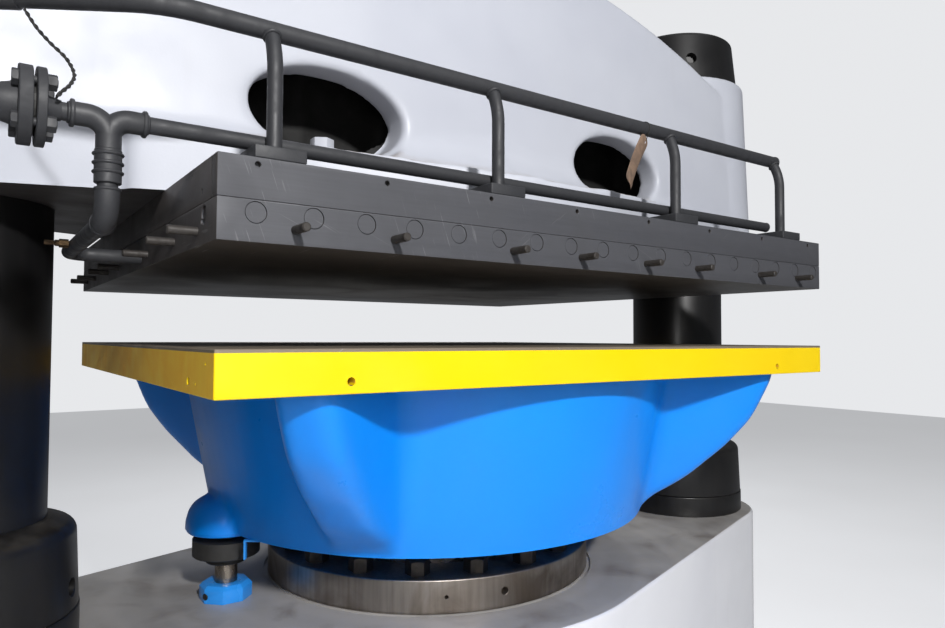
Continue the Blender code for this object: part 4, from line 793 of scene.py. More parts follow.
def drilled(obj: Piece, wall: Place, outward: Place, radius: float, depth: float,
            chamfer: float = 0.0015) -> Piece:
    """Drill a blind hole with a small chamfer.

    Args:
        obj: what is drilled.
        wall: the point on its surface.
        outward: the direction from which it is drilled.
        radius: the hole's radius.
        depth: the hole's depth.
        chamfer: the chamfer's width.

    Returns:
        The drilled object.
    """
    profile = [(0.0, -depth), (radius, -depth), (radius, -chamfer), (radius + chamfer, 0.0),
               (radius + chamfer, depth), (0.0, depth)]
    return boolean(obj, aimed(turned(profile, 32), wall, outward), "DIFFERENCE")


def rounded(radius: float, height: float, size: float, steps: int = 6) -> Profile:
    """Profile points of a convex outer corner, from its top face to its side."""
    points = []
    for step in range(steps + 1):
        angle = math.pi / 2 * (1 - step / steps)
        points.append((radius - size + size * math.cos(angle), height - size + size * math.sin(angle)))
    return points


def quarter(steps: int) -> list[tuple[float, float]]:
    """The cosines and sines of even steps through a quarter turn."""
    angles = [math.pi / 2 * step / steps for step in range(steps + 1)]
    return [(math.cos(angle), math.sin(angle)) for angle in angles]


def ring_profile(
    bore: float, wide: float, top: float, foot: float, edge: float, chamfer: float, steps: int
) -> Profile:
    """The profile of a ring, or of a disc where it has no bore.

    Args:
        bore: the inner radius.
        wide: the outer radius.
        top: the height of its top.
        foot: the height of its foot.
        edge: the radius of the round at its top.
        chamfer: the width of the chamfer at its foot.
        steps: how many steps the round has.

    Returns:
        The profile's points, from the bore's top to its foot.
    """
    return [(bore, top)] + rounded(wide, top, edge, steps) + [
        (wide, foot + chamfer), (wide - chamfer, foot), (bore, foot)]


def hexagon(flats: float, height: float, chamfer: float = 0.15) -> Shape:
    """A nut or a bolt's head that stands on the origin, its corners turned off at the top."""
    radius = flats / math.sqrt(3.0)
    rise = (radius - flats / 2) * (math.tan(math.radians(30.0)) + chamfer)
    prism = solid(rod((0.0, 0.0, 0.0), (0.0, 0.0, height), radius, 6), "hexagon")
    over = 1e-4
    wide, top = radius + over, height + over
    crown = [(0.0, top), (flats / 2, top), (wide, height - rise), (wide, -over), (0.0, -over)]
    return shape_of(boolean(prism, turned(crown, 48), "INTERSECT"))


def dress(node: str, finish: str) -> None:
    """Give a CAD node that stays a finish."""
    mesh = NODES[node].data
    mesh.materials.clear()
    mesh.materials.append(finish_of(finish))


def show_softened(
    node: str, ending: str, body: Body, slot: Slot, width: float, segments: int = 2, angle: float = 30.0
) -> None:
    """Show a CAD node's own shape with its edges rounded.

    Args:
        node: the CAD node.
        ending: what its name ends in as a piece.
        body: the body it rides on.
        slot: the record's slot of its finish.
        width: the rounds' width.
        segments: how many steps a round has.
        angle: the angle past which an edge is rounded, in degrees.
    """
    show(soften(copied(node), width, segments, angle), node + ending, body, slot, [node])


def show_turned(node: str, profile: Profile, steps: int, body: Body, slot: Slot, closed: bool = False) -> None:
    """Show a turned shape about an upright axis through a CAD node's middle.

    Args:
        node: the CAD node.
        profile: radius and height of each point, in order.
        steps: how many faces go round.
        body: the body it rides on.
        slot: the record's slot of its finish.
        closed: whether the profile closes on itself.
    """
    shape = moved(turned(profile, steps, closed), (middle(node).x, 0.0, 0.0))
    show(shape, node + "_round", body, slot, [node])


# ---- sub-assemblies ----


@dataclass(frozen=True)
class Base:
    """The boat-shaped base with its machined top, its groove and the pockets under the columns."""

    spacing: float = 1.235
    middle_radius: float = 0.675
    end_radius: float = 0.295
    edge: float = 0.012
    groove_inner: float = 0.497
    groove_outer: float = 0.509
    groove_depth: float = 0.006
    cylinder_radius: float = 0.4103
    pocket_radius: float = 0.247
    pocket_depth: float = 0.13
    floor: float = 0.10
    seat_radius: float = 0.5543
    end_steps: int = 28
    middle_steps: int = 30
    edge_steps: int = 4
    bore_sides: int = 96
    pocket_sides: int = 64

    def ring(self, inset: float, height: float) -> Ring:
        """The outline at a height, pulled in by a size."""
        wide, end = self.middle_radius - inset, self.end_radius - inset
        outline = hull_outline(wide, end, self.spacing, self.end_steps, self.middle_steps)
        return [Vector((x, y, height)) for x, y in outline]

    def build(self) -> None:
        """Build the casting and give its top the machined finish."""
        top = high("base_casting").z
        rings = [self.ring(self.edge / 2, 0.0), self.ring(0.0, self.edge / 2)]
        for cosine, sine in quarter(self.edge_steps):
            rings.append(self.ring(self.edge * (1 - cosine), top - self.edge * (1 - sine)))
        body = solid(lofted(rings), "base")
        over = top + self.edge
        cuts = [rod(UP * self.floor, UP * over, self.cylinder_radius, self.bore_sides)]
        for _, sign in SIDES:
            foot = ALONG * (sign * self.spacing)
            end = foot + UP * self.pocket_depth
            cuts.append(rod(foot - UP * self.edge, end, self.pocket_radius, self.pocket_sides))
        body = boolean(body, merged(cuts), "DIFFERENCE")
        bottom, inner, outer = top - self.groove_depth, self.groove_inner, self.groove_outer
        groove = turned([(outer, over), (outer, bottom), (inner, bottom), (inner, over)], closed=True)
        body = boolean(body, groove, "DIFFERENCE")
        made = show(body, "base_body", Body.FRAME, Slot.WHITE, ["base_casting"], "base_white")
        repaint(made, "machined_face", lambda face: face.center.z > top - self.edge
                and (face.normal.z > 0.9 or face.center.xy.length < self.seat_radius))
        dress("main_cylinder", "rod_steel")


@dataclass(frozen=True)
class Columns:
    """The two columns with their rings and round nuts."""

    radius: float = 0.18
    bore_gap: float = FIT_GAP
    edge: float = 0.006
    ring_edge: float = 0.003
    nut_top_radius: float = 0.241
    nut_round: float = 0.030
    nut_shoulder: float = 0.012
    top_nut_top_radius: float = 0.229
    top_nut_round: float = 0.014
    hole_radius: float = 0.02
    hole_depth: float = 0.03
    base_hole_rise: float = 0.052
    top_nut_height: float = 0.191
    top_lift: float = 0.036
    top_hole_level: float = 2.608
    base_hole_turns: tuple[float, float] = (-24.0, 200.0)
    top_hole_turns: tuple[float, float] = (-40.0, 233.5)
    hole_chamfer: float = 0.003
    sides: int = 128

    def nut(self, node: str, crown: Profile, foot: float, rise: float, turn: float) -> None:
        """Build one round nut with its spanner hole.

        Args:
            node: the CAD node it stands for.
            crown: the profile of its top, from the bore outward.
            foot: the height of its foot.
            rise: the hole's height over the nut's foot.
            turn: the hole's direction, in degrees.
        """
        place, wide, edge = ALONG * middle(node).x, half_width(node), self.ring_edge
        bore, crest = self.radius + self.bore_gap, crown[0][1]
        profile = [(bore, crest), *crown, (wide, foot + edge), (wide - edge, foot), (bore, foot)]
        body = solid(moved(turned(profile, self.sides, True), place), "nut")
        out = wide + (crown[-1][0] - wide) * rise / (crest - foot)
        wall, toward = place + UP * (foot + rise) + compass(turn) * out, compass(turn)
        body = drilled(body, wall, toward, self.hole_radius, self.hole_depth, self.hole_chamfer)
        show(body, node + "_round", Body.FRAME, Slot.BLACK, [node])

    def build(self) -> None:
        """Build both columns and what sits on them."""
        for index, (side, _) in enumerate(SIDES):
            name = "column_" + side
            bottom, top = low(name).z, high(name).z + self.top_lift
            profile = ring_profile(0.0, self.radius, top, bottom, self.edge, self.edge, 6)
            show_turned(name, profile, self.sides, Body.FRAME, Slot.BLACK)

            ring = "base_ring_" + side
            profile = ring_profile(self.radius + self.bore_gap, half_width(ring), high(ring).z, low(ring).z,
                                   self.ring_edge, self.ring_edge, 3)
            show_turned(ring, profile, self.sides, Body.FRAME, Slot.BLACK, True)

            nut = "base_nut_" + side
            crown = rounded(self.nut_top_radius, high(nut).z - self.nut_shoulder, self.nut_round, 8)
            crown[0] = (self.radius + self.nut_shoulder, high(nut).z - self.nut_shoulder * 0.2)
            crown.insert(0, (self.radius + self.bore_gap * 2, high(nut).z))
            self.nut(nut, crown, low(nut).z, self.base_hole_rise, self.base_hole_turns[index])

            nut = "top_nut_" + side
            crest = high(nut).z + self.top_lift
            foot = crest - self.top_nut_height
            crown = rounded(self.top_nut_top_radius, crest, self.top_nut_round)
            self.nut(nut, crown, foot, self.top_hole_level - foot, self.top_hole_turns[index])

            show_softened("foot_nut_" + side, "_round", Body.FRAME, Slot.BLACK, self.ring_edge)


@dataclass(frozen=True)
class Gland:
    """The gland ring on the cylinder's mouth, held down by a circle of nuts on studs."""

    radius: float = 0.497
    bore: float = 0.3606
    edge: float = 0.004
    height: float = 0.085
    nut_count: int = 18
    nut_flats: float = 0.056
    nut_height: float = 0.036
    nut_circle: float = 0.44
    nut_turn: float = 14.0
    holes: tuple[tuple[float, float], ...] = ((0.01, 261.0), (0.0045, 243.0))
    hole_depth: float = 0.03
    hole_chamfer: float = 0.001
    sides: int = 144
    ram_sides: int = 128

    def build(self) -> None:
        """Build the ring, its nuts and the ram inside it."""
        foot = low("gland_ring").z
        top = foot + self.height
        profile = ring_profile(self.bore, self.radius, top, foot, self.edge, self.edge / 2, 4)
        ring = solid(turned(profile, self.sides, True), "ring")
        for size, turn in self.holes:
            wall = compass(turn) * self.radius + UP * ((foot + top) / 2)
            ring = drilled(ring, wall, compass(turn), size, self.hole_depth, self.hole_chamfer)
        show(ring, "gland_body", Body.FRAME, Slot.BARE, ["gland_ring"], "gland_steel")

        nuts = []
        for index in range(self.nut_count):
            spot = compass(self.nut_turn + 360.0 * index / self.nut_count) * self.nut_circle
            nut = hexagon(self.nut_flats, self.nut_height)
            nuts.append(moved(nut, spot + UP * top))
        show(merged(nuts), "gland_nuts", Body.FRAME, Slot.DARK, finish="nut_steel", smooth=20.0)

        wide, crest, foot = half_width("ram"), high("ram").z, low("ram").z
        profile = [(0.0, crest), (wide, crest), (wide, foot + self.edge), (wide - self.edge, foot), (0.0, foot)]
        show_turned("ram", profile, self.ram_sides, Body.TABLE, Slot.BARE)
        dress("ram_packing", "black_rubber")


@dataclass(frozen=True)
class TableUnit:
    """The blue horned casting and the plate that lies on it."""

    casting_height: float = 0.403
    drum_bottom: float = 0.655
    drum_top: float = 0.735
    spare: float = 0.03
    horn_angle: float = 45.0
    horn_reach: float = 1.04
    horn_half_width: float = 0.15
    arc_steps: int = 18
    crest_shares: tuple[tuple[float, float], ...] = (
        (0.0, 0.0), (0.03, 0.02), (0.10, 0.10), (0.17, 0.22), (0.25, 0.343), (0.35, 0.465), (0.45, 0.59),
        (0.553, 0.70), (0.674, 0.815), (0.82, 0.907), (0.945, 0.98), (1.0, 1.0),
    )
    side_shares: tuple[tuple[float, float], ...] = (
        (1.0, 0.0), (0.80, 0.03), (0.63, 0.15), (0.54, 0.42), (0.47, 0.74), (0.38, 0.94), (0.2, 0.995),
        (0.0, 1.0),
    )
    guide_place: float = 0.64
    boss_radius: float = 0.104
    boss_drop: float = 0.010
    boss_rise: float = 0.085
    boss_shares: tuple[tuple[float, float], ...] = (
        (0.0, 1.0), (0.35, 1.0), (0.60, 0.93), (0.80, 0.78), (0.93, 0.55), (1.0, 0.22),
    )
    boss_steps: int = 48
    foot_steps: int = 72
    foot_inset: float = 0.004
    grain: float = 0.0085
    passes: int = 7
    bare_band: float = 0.006

    def drum(self, share: float) -> float:
        """The drum's radius at a share of its height."""
        return self.drum_bottom + (self.drum_top - self.drum_bottom) * share

    def ring(self, share: float, crest: float, height: float) -> Ring:
        """The drum's circle with its four horns, at one height.

        Args:
            share: the share of the casting's height.
            crest: the share of the way that a horn reaches out.
            height: the height in the frame.

        Returns:
            The ring's points.
        """
        drum = self.drum(share)
        reach = drum + (self.horn_reach - drum) * crest
        rising = [(-across, rise) for across, rise in self.side_shares] + list(self.side_shares[-2::-1])
        fine = smoothed([Vector((across, rise, 0.0)) for across, rise in rising], 3)
        axes = [self.horn_angle, 180.0 - self.horn_angle, 180.0 + self.horn_angle, 360.0 - self.horn_angle]
        root = math.degrees(math.asin(self.horn_half_width / self.drum_bottom))
        points: Ring = []
        for index, axis in enumerate(axes):
            along, aside = compass(axis), compass(axis + 90.0)
            for spot in fine:
                rise = min(1.0, max(0.0, spot.y))
                spread = spot.x * self.horn_half_width * (1.0 + (drum / self.drum_bottom - 1.0) * (1.0 - rise))
                out = math.sqrt(drum**2 - spread**2) + (reach - drum) * rise
                points.append(along * out + aside * spread + UP * height)
            following = axes[(index + 1) % 4] + (360.0 if index == 3 else 0.0)
            start, end = axis + root, following - root
            for step in range(1, self.arc_steps):
                toward = compass(start + (end - start) * step / self.arc_steps)
                points.append(toward * drum + UP * height)
        return points

    def build(self) -> None:
        """Build the casting and the plate."""
        foot, top = high("ram").z, high("table_casting").z
        crest = smoothed([Vector((share, out, 0.0)) for share, out in self.crest_shares], 4)
        rings = [self.ring(spot.x, spot.y, foot + spot.x * self.casting_height) for spot in crest]
        rings = [self.ring(0.0, 0.0, foot - self.spare), *rings, self.ring(1.0, 1.0, top + self.spare)]
        shapes, feet = [lofted(rings)], []
        under = foot - self.boss_drop
        for _, sign in SIDES:
            wide = self.boss_radius
            profile = [(wide * share, foot + self.boss_rise * rise) for share, rise in self.boss_shares]
            profile += [(wide, foot - self.spare), (0.0, foot - self.spare)]
            shapes.append(moved(turned(profile, self.boss_steps), (sign * self.guide_place, 0.0, 0.0)))
            wide, inset = self.boss_radius - self.foot_inset, self.foot_inset
            profile = [(0.0, foot + self.spare), (wide - inset / 2, foot + self.spare), (wide, under + inset),
                       (wide - inset, under), (0.0, under)]
            feet.append(moved(turned(profile, self.foot_steps), (sign * self.guide_place, 0.0, 0.0)))
        casting = shape_of(melted(solid(merged(shapes), "casting"), self.grain, self.passes))
        casting = trimmed(trimmed(casting, foot, -1.0), top, 1.0)
        casting = boolean(solid(casting, "casting"), merged(feet), "UNION")
        show(casting, "table_casting_skin", Body.TABLE, Slot.BLUE, ["table_casting"], smooth=50.0)

        bare = high("table_plate").z - self.bare_band
        shape = sliced(copied("table_plate"), (0.0, 0.0, bare), (0.0, 0.0, 1.0))
        plate = show(shape, "table_plate_painted", Body.TABLE, Slot.YELLOW, ["table_plate"], smooth=15.0)
        # Painted reflection: the plate's left and right sides get the warmer orange yellow.
        repaint(plate, "yellow_side_painted_reflection", lambda face: abs(face.normal.x) > 0.9 and face.center.z < bare)
        repaint(plate, "table_steel", lambda face: abs(face.normal.z) > 0.9 or face.center.z > bare)


def smoothed(points: Sequence[Vector], steps: int) -> list[Vector]:
    """A smooth curve through points, with so many steps from each to the next."""
    spots = [points[0] * 2 - points[1], *points, points[-1] * 2 - points[-2]]
    curve = []
    for a, b, c, d in zip(spots, spots[1:], spots[2:], spots[3:]):
        for step in range(steps):
            t = step / steps
            curve.append(
                (b * 2 + (c - a) * t + (a * 2 - b * 5 + c * 4 - d) * t**2 + (b * 3 - a - c * 3 + d) * t**3) / 2
            )
    curve.append(points[-1].copy())
    return curve


@dataclass(frozen=True)
class Guides:
    """The guide rods with their collars and bushes, and the trip finger."""

    bore: float = 0.0293
    edge: float = 0.003
    step_radius: float = 0.052
    step_height: float = 0.019
    collar_round: float = 0.0012
    screw_round: float = 0.0008
    finger_round: float = 0.0006
    rod_sides: int = 64
    bush_sides: int = 72

    def build(self) -> None:
        """Build both guides."""
        for side, _ in SIDES:
            node = "guide_rod_" + side
            wide, top, foot = half_width(node), high(node).z, low(node).z
            profile = [(0.0, top), (wide - self.edge, top), (wide, top - self.edge), (wide, foot), (0.0, foot)]
            show_turned(node, profile, self.rod_sides, Body.FRAME, Slot.BARE)

            node = "guide_bush_" + side
            wide, top, foot = half_width(node), high(node).z, low(node).z
            ledge, edge, step = foot + self.step_height, self.edge, self.step_radius
            profile = [(self.bore, top), (wide, top), (wide, ledge + edge), (wide - edge, ledge), (step, ledge),
                       (step, foot + edge / 2), (step - edge / 2, foot), (self.bore, foot)]
            show_turned(node, profile, self.bush_sides, Body.TABLE, Slot.RUBBER, True)

            show_softened(
                "rod_collar_" + side, "_painted", Body.FRAME, Slot.LIGHT_BLUE, self.collar_round, angle=20.0
            )
            show_softened("collar_screw_" + side, "_head", Body.FRAME, Slot.BLACK, self.screw_round)
        show_softened("trip_finger", "_painted", Body.TABLE, Slot.LIGHT_BLUE, self.finger_round)


@dataclass(frozen=True)
class Platens:
    """The drilled heating platen, the plate over it and the strip on its front."""

    half_size: Colour = (0.9, 0.8, 0.0)
    edge: float = 0.0015
    plug_count: int = 18
    plug_pitch: float = 0.1
    plug_shift: float = 0.0125
    plug_radius: float = 0.0185
    plug_sink: float = 0.00048
    plug_length: float = 0.0036
    plug_round: float = 0.0006
    plug_gap: float = 0.0012
    plug_rise: float = 0.049
    stud_radius: float = 0.0078
    stud_length: float = 0.05
    stud_rise: float = 0.026
    stud_tip: float = 0.002
    stud_root: float = 0.002
    stud_shares: tuple[float, ...] = (0.072, 0.177, 0.332, 0.44)
    strip_width: float = 0.03
    strip_hole: float = 0.0048
    strip_hole_depth: float = 0.012
    strip_hole_count: int = 8
    strip_hole_pitch: float = 0.2386
    strip_hole_drop: float = 0.012
    strip_hole_chamfer: float = 0.0008
    port_radius: float = 0.016
    port_depth: float = 0.004
    port_inset: float = 0.0754
    side_holes: tuple[tuple[float, float], ...] = ((0.0896, 0.0200), (0.0902, -0.0301))
    side_hole: float = 0.005
    hole_chamfer: float = 0.001
    plug_sides: int = 40
    stud_sides: int = 24

    def slab(self, first: Vector, last: Vector) -> Piece:
        """A plate between two corners, its edges broken."""
        return solid(soften(block(first, last), self.edge, 2), "slab")

    def dress_plate(self, made: Piece) -> None:
        """Give a plate's sides and underside their own finishes."""
        repaint(made, "platen_side", lambda face: abs(face.normal.x) > 0.7)
        repaint(made, "platen_face", lambda face: face.normal.z < -0.7)

    def build(self) -> None:
        """Build the plates, plugs and studs."""
        half = Vector(self.half_size)
        foot, joint, top = low("heating_platen").z, low("upper_plate").z, high("upper_plate").z
        plate = self.slab((-half.x, -half.y, foot), (half.x, half.y, joint - FIT_GAP))
        level = foot + self.plug_rise
        sockets, plugs = [], []
        for index in range(self.plug_count):
            x = (index - (self.plug_count - 1) / 2) * self.plug_pitch + self.plug_shift
            for sign in (-1.0, 1.0):
                wall = Vector((x, sign * half.y, level))
                inner, face = (wall - BACK * (sign * depth) for depth in (self.plug_length, self.plug_sink))
                mouth = wall + BACK * (sign * self.edge)
                sockets.append(rod(inner, mouth, self.plug_radius, self.plug_sides))
                plug = rod(inner, face, self.plug_radius - self.plug_gap, self.plug_sides)
                plugs.append(soften(plug, self.plug_round, 2, 40.0))
        plate = boolean(plate, merged(sockets), "DIFFERENCE")
        for _, sign in SIDES:
            outward = ALONG * sign
            wall = Vector((sign * half.x, self.port_inset - half.y, level))
            plate = drilled(plate, wall, outward, self.port_radius, self.port_depth, self.hole_chamfer)
            inset, rise = self.side_holes[1]
            wall = Vector((sign * half.x, inset - half.y, joint + rise))
            plate = drilled(plate, wall, outward, self.side_hole, self.strip_hole_depth, self.hole_chamfer)
        self.dress_plate(show(plate, "heating_plate", Body.FRAME, Slot.DARK, ["heating_platen"]))
        show(merged(plugs), "channel_plugs", Body.FRAME, Slot.DARK, smooth=20.0)
        studs = merged(self.studs(half, foot + self.stud_rise))
        show(studs, "cover_studs", Body.FRAME, Slot.DARK, finish="stud_steel")

        split = self.strip_width - half.y
        upper = self.slab((-half.x, split + FIT_GAP, joint), (half.x, half.y, top))
        inset, rise = self.side_holes[0]
        for _, sign in SIDES:
            wall = Vector((sign * half.x, inset - half.y, joint + rise))
            upper = drilled(upper, wall, ALONG * sign, self.side_hole, self.strip_hole_depth, self.hole_chamfer)
        self.dress_plate(show(upper, "upper_plate_worn", Body.FRAME, Slot.DARK, ["upper_plate"]))
        strip = self.slab((-half.x, -half.y, joint), (half.x, split, top))
        for index in range(self.strip_hole_count):
            x = (index - (self.strip_hole_count - 1) / 2) * self.strip_hole_pitch
            wall = Vector((x, -half.y, top - self.strip_hole_drop))
            strip = drilled(strip, wall, -BACK, self.strip_hole, self.strip_hole_depth, self.strip_hole_chamfer)
        self.dress_plate(show(strip, "front_strip_worn", Body.FRAME, Slot.DARK, ["front_strip"]))

    def studs(self, half: Vector, level: float) -> list[Shape]:
        """The cover studs on the four edges, each with a chamfered tip."""
        wide, long, tip, sunk = self.stud_radius, self.stud_length, self.stud_tip, -self.stud_root
        profile = [(0.0, long), (wide - tip, long), (wide, long - tip), (wide, sunk), (0.0, sunk)]
        made = []
        for share in (*self.stud_shares, *(1.0 - share for share in self.stud_shares)):
            x, y = 2 * half.x * (share - 0.5), 2 * half.y * (share - 0.5)
            for sign in (-1.0, 1.0):
                for root, way in (((x, sign * half.y, level), BACK), ((sign * half.x, y, level), ALONG)):
                    made.append(aimed(turned(profile, self.stud_sides), root, way * sign))
        return made


@dataclass(frozen=True)
class Crosshead:
    """The white crosshead: boat-shaped flange, arched walls, column bosses and four oval windows."""

    spacing: float = 1.235
    middle_radius: float = 0.675
    end_radius: float = 0.297
    end_steps: int = 22
    middle_steps: int = 26
    edge: float = 0.006
    rim: float = 0.085
    rim_rise: float = 0.07
    flare: float = 0.28
    flare_end: float = 0.19
    flare_steps: int = 14
    height: float = 0.897
    arch_drop: float = 0.245
    arch_steps: int = 48
    wall_middle: float = 0.345
    wall_end: float = 0.293
    wall_lap: float = 0.003
    draft: float = 0.04
    brow: float = 0.02
    brow_steps: int = 5
    boss_height: float = 0.740
    boss_top_radius: float = 0.270
    boss_lap: float = 0.0005
    bore: float = 0.1803
    bore_over: float = 0.1
    step: float = 0.032
    step_place: float = 0.967
    step_round: float = 0.018
    window_place: float = 0.5135
    window_shift: float = 0.0205
    window_half_width: float = 0.203
    window_half_height: float = 0.113
    window_rise: float = 0.262
    window_wall: float = 0.095
    lip: float = 0.014
    lip_steps: int = 6
    lip_shade_share: float = 0.4
    window_sides: int = 72
    chamber_half_length: float = 0.30
    chamber_floor: float = 0.135
    chamber_height: float = 0.32
    chamber_round: float = 0.05
    shade_spare: float = 0.02
    under_band: float = 0.01
    web: float = 0.05
    grain: float = 0.0092
    passes: int = 5
    spare: float = 0.03
    bolt_round: float = 0.0015
    bore_sides: int = 96

    def wall(self, x: float, rise: float) -> float:
        """Half the head's thickness at a place along it and a height over its underside."""
        bow = 1 - (x / self.spacing) ** 2
        return self.wall_end + (self.wall_middle - self.wall_end) * bow - self.draft * rise / self.height

    def outline(self, middle_radius: float, end_radius: float, step: float = 0.0) -> Profile:
        """The flange's boat shape, its middle standing proud of its ends by a rounded step.

        Args:
            middle_radius: the radius in the middle.
            end_radius: the radius round the columns.
            step: the step's height; without one the outline only gets as many points.

        Returns:
            The outline's points, X and Y.
        """
        sunk, proud = (
            hull_outline(middle_radius, end_radius + lift, self.spacing, self.end_steps, self.middle_steps)
            for lift in (-step / 2, step / 2)
        )
        size, points, index = len(sunk), [], 0

        def at_step(ring: Profile, end: int, middle: int) -> Vector:
            """The point of an outline's straight side where the step is."""
            start, stop = Vector(ring[end % size]), Vector(ring[middle % size])
            return start.lerp(stop, (abs(start.x) - self.step_place) / (abs(start.x) - abs(stop.x)))

        def corner(end: int, middle: int) -> list[Vector]:
            """Points of one step, from an end arc's last point to the middle arc's first."""
            inner, outer = at_step(sunk, end, middle), at_step(proud, end, middle)
            along = (Vector(proud[middle % size]) - Vector(proud[end % size])).normalized() * self.step_round
            if step == 0.0:
                return [inner, inner + along / 3, inner + along * 2 / 3, inner + along]
            out = (inner - outer).normalized() * self.step_round
            return [inner, outer + out, outer + out + along - (out + along).normalized() * self.step_round,
                    outer + along]

        for _ in range(2):
            last = index + self.end_steps
            points += sunk[index:last + 1] + [tuple(spot) for spot in corner(last, last + 1)]
            index, last = last + 1, last + 1 + self.middle_steps
            points += proud[index:last + 1] + [tuple(spot) for spot in corner(last + 1, last)[::-1]]
            index = last + 1
        return points

    def flange(self, foot: float) -> Shape:
        """The flange, flaring up into the walls."""
        outer = self.outline(self.middle_radius, self.end_radius, self.step)
        wall = self.outline(self.wall_middle - self.wall_lap, self.wall_end - 3 * self.wall_lap)
        core = self.outline(self.wall_middle / 2, self.wall_end / 2)
        rings = [[Vector((x, y, foot + rise)) for x, y in outer] for rise in (-self.spare, self.edge)]
        for cosine, inward in quarter(self.flare_steps):
            ring = []
            for (x0, y0), (x1, y1) in zip(outer, wall):
                along = min(1.0, abs(x0) / self.spacing)
                rim = self.rim + self.rim_rise * along
                top = self.flare + (self.flare_end - self.flare) * along
                ring.append(Vector((x0 + (x1 - x0) * inward, y0 + (y1 - y0) * inward,
                                    foot + rim + (top - rim) * (1 - cosine))))
            rings.append(ring)
        rings.append([Vector((x, y, foot + self.flare)) for x, y in core])
        return lofted(rings)

    def arch(self, foot: float) -> Shape:
        """The arched wall between the columns, as sections along X."""
        rings = []
        for step in range(self.arch_steps + 1):
            x = self.spacing * (2 * step / self.arch_steps - 1)
            top = self.height - self.arch_drop * (x / self.spacing) ** 2
            side = [(self.wall(x, rise), rise) for rise in (self.rim, (self.rim + top) / 2)]
            for cosine, sine in quarter(self.brow_steps):
                side.append((self.wall(x, top) - self.brow * (1 - cosine), top - self.brow * (1 - sine)))
            section = side + [(-y, rise) for y, rise in side[::-1]]
            rings.append([Vector((x, y, foot + rise)) for y, rise in section])
        return lofted(rings)

    def window(self, foot: float, sign_x: float, sign_y: float) -> Shape:
        """A cutter for one oval window, wide at its mouth so that the lip comes out round."""
        lip, depths = self.lip, [(self.middle_radius - self.wall_middle, self.lip)]
        depths += [(-lip * (1 - cosine), lip * (1 - sine)) for cosine, sine in quarter(self.lip_steps)]
        depths.append((-self.window_wall - self.edge, 0.0))
        rings = []
        for out, spread in depths:
            ring = []
            for index in range(self.window_sides):
                angle = math.tau * index / self.window_sides
                along = (self.window_half_width + spread) * math.cos(angle)
                x = self.window_shift + sign_x * self.window_place + along
                rise = self.window_rise + (self.window_half_height + spread) * math.sin(angle)
                ring.append(Vector((x, sign_y * (self.wall(x, rise) + out), foot + rise)))
            rings.append(ring)
        return lofted(rings)

    def build(self) -> None:
        """Build the casting, pour its joints together and paint its chambers near black as painted shade."""
        foot = low("crosshead").z
        body = boolean(solid(self.flange(foot), "head"), self.arch(foot), "UNION")
        bosses = []
        for _, sign in SIDES:
            top, start = foot + self.boss_height, foot - self.spare / 2
            wide, end = self.boss_top_radius, self.end_radius - self.boss_lap
            profile = [(0.0, top), (wide - self.edge, top), (wide, top - self.edge), (end, start), (0.0, start)]
            bosses.append(moved(turned(profile, self.bore_sides), ALONG * (sign * self.spacing)))
        body = boolean(body, merged(bosses), "UNION")
        inner = self.wall(self.window_place, self.window_rise) - self.window_wall
        windows, chambers = [], []
        for sign_x in (-1.0, 1.0):
            for sign_y in (-1.0, 1.0):
                windows.append(self.window(foot, sign_x, sign_y))
                near, far = sorted((sign_y * self.web, sign_y * inner))
                left = self.window_shift + sign_x * self.window_place - self.chamber_half_length
                floor = foot + self.chamber_floor
                chamber = block((left, near, floor),
                                (left + 2 * self.chamber_half_length, far, floor + self.chamber_height))
                chambers.append(soften(chamber, self.chamber_round, 4))
        body = boolean(body, merged(windows), "DIFFERENCE")
        body = boolean(body, merged(chambers), "DIFFERENCE")
        body = solid(trimmed(shape_of(melted(body, self.grain, self.passes)), foot, -1.0), "head")
        over, bores = self.bore_over, []
        for _, sign in SIDES:
            under = Vector((sign * self.spacing, 0.0, foot - over))
            crest = under + UP * (self.boss_height + 2 * over)
            bores.append(rod(under, crest, self.bore, self.bore_sides))
        body = boolean(body, merged(bores), "DIFFERENCE")
        whole = shape_of(body)
        # How far into the window's lip the painted shade of the chambers reaches.
        limit = inner + self.lip * self.lip_shade_share
        for sign_y in (-1.0, 1.0):
            sliced(whole, BACK * (sign_y * limit), BACK)
        centre = Vector((self.window_place, 0.0, foot + self.chamber_floor + self.chamber_height / 2))
        reach = Vector((self.chamber_half_length, limit - self.shade_spare, self.chamber_height / 2))

        def in_chamber(face: bpy.types.MeshPolygon) -> bool:
            """Whether a face lies inside one of the four chambers."""
            spot = Vector((abs(face.center.x - self.window_shift), face.center.y, face.center.z))
            return all(abs(away) < size + self.shade_spare for away, size in zip(spot - centre, reach))

        for name, sign_y in (("front", -1.0), ("rear", 1.0)):
            half = sliced(whole.copy(), (0.0, 0.0, 0.0), BACK * -sign_y, True)
            made = show(half, "crosshead_" + name, Body.FRAME, Slot.WHITE, ["crosshead"], smooth=60.0)
            # Painted shade: the chambers' inner faces are made near black.
            repaint(made, "cavity_painted_shade", in_chamber)
            # Painted shade: the downward faces at the crosshead's foot are made near black.
            repaint(made, "head_underside_shaded", lambda face: face.normal.z < -0.8 and face.center.z < foot + self.under_band)
        whole.free()
        for depth in ("front", "rear"):
            for side, _ in SIDES:
                show_softened(f"clamp_bolt_{depth}_{side}", "_painted", Body.FRAME, Slot.WHITE, self.bolt_round)


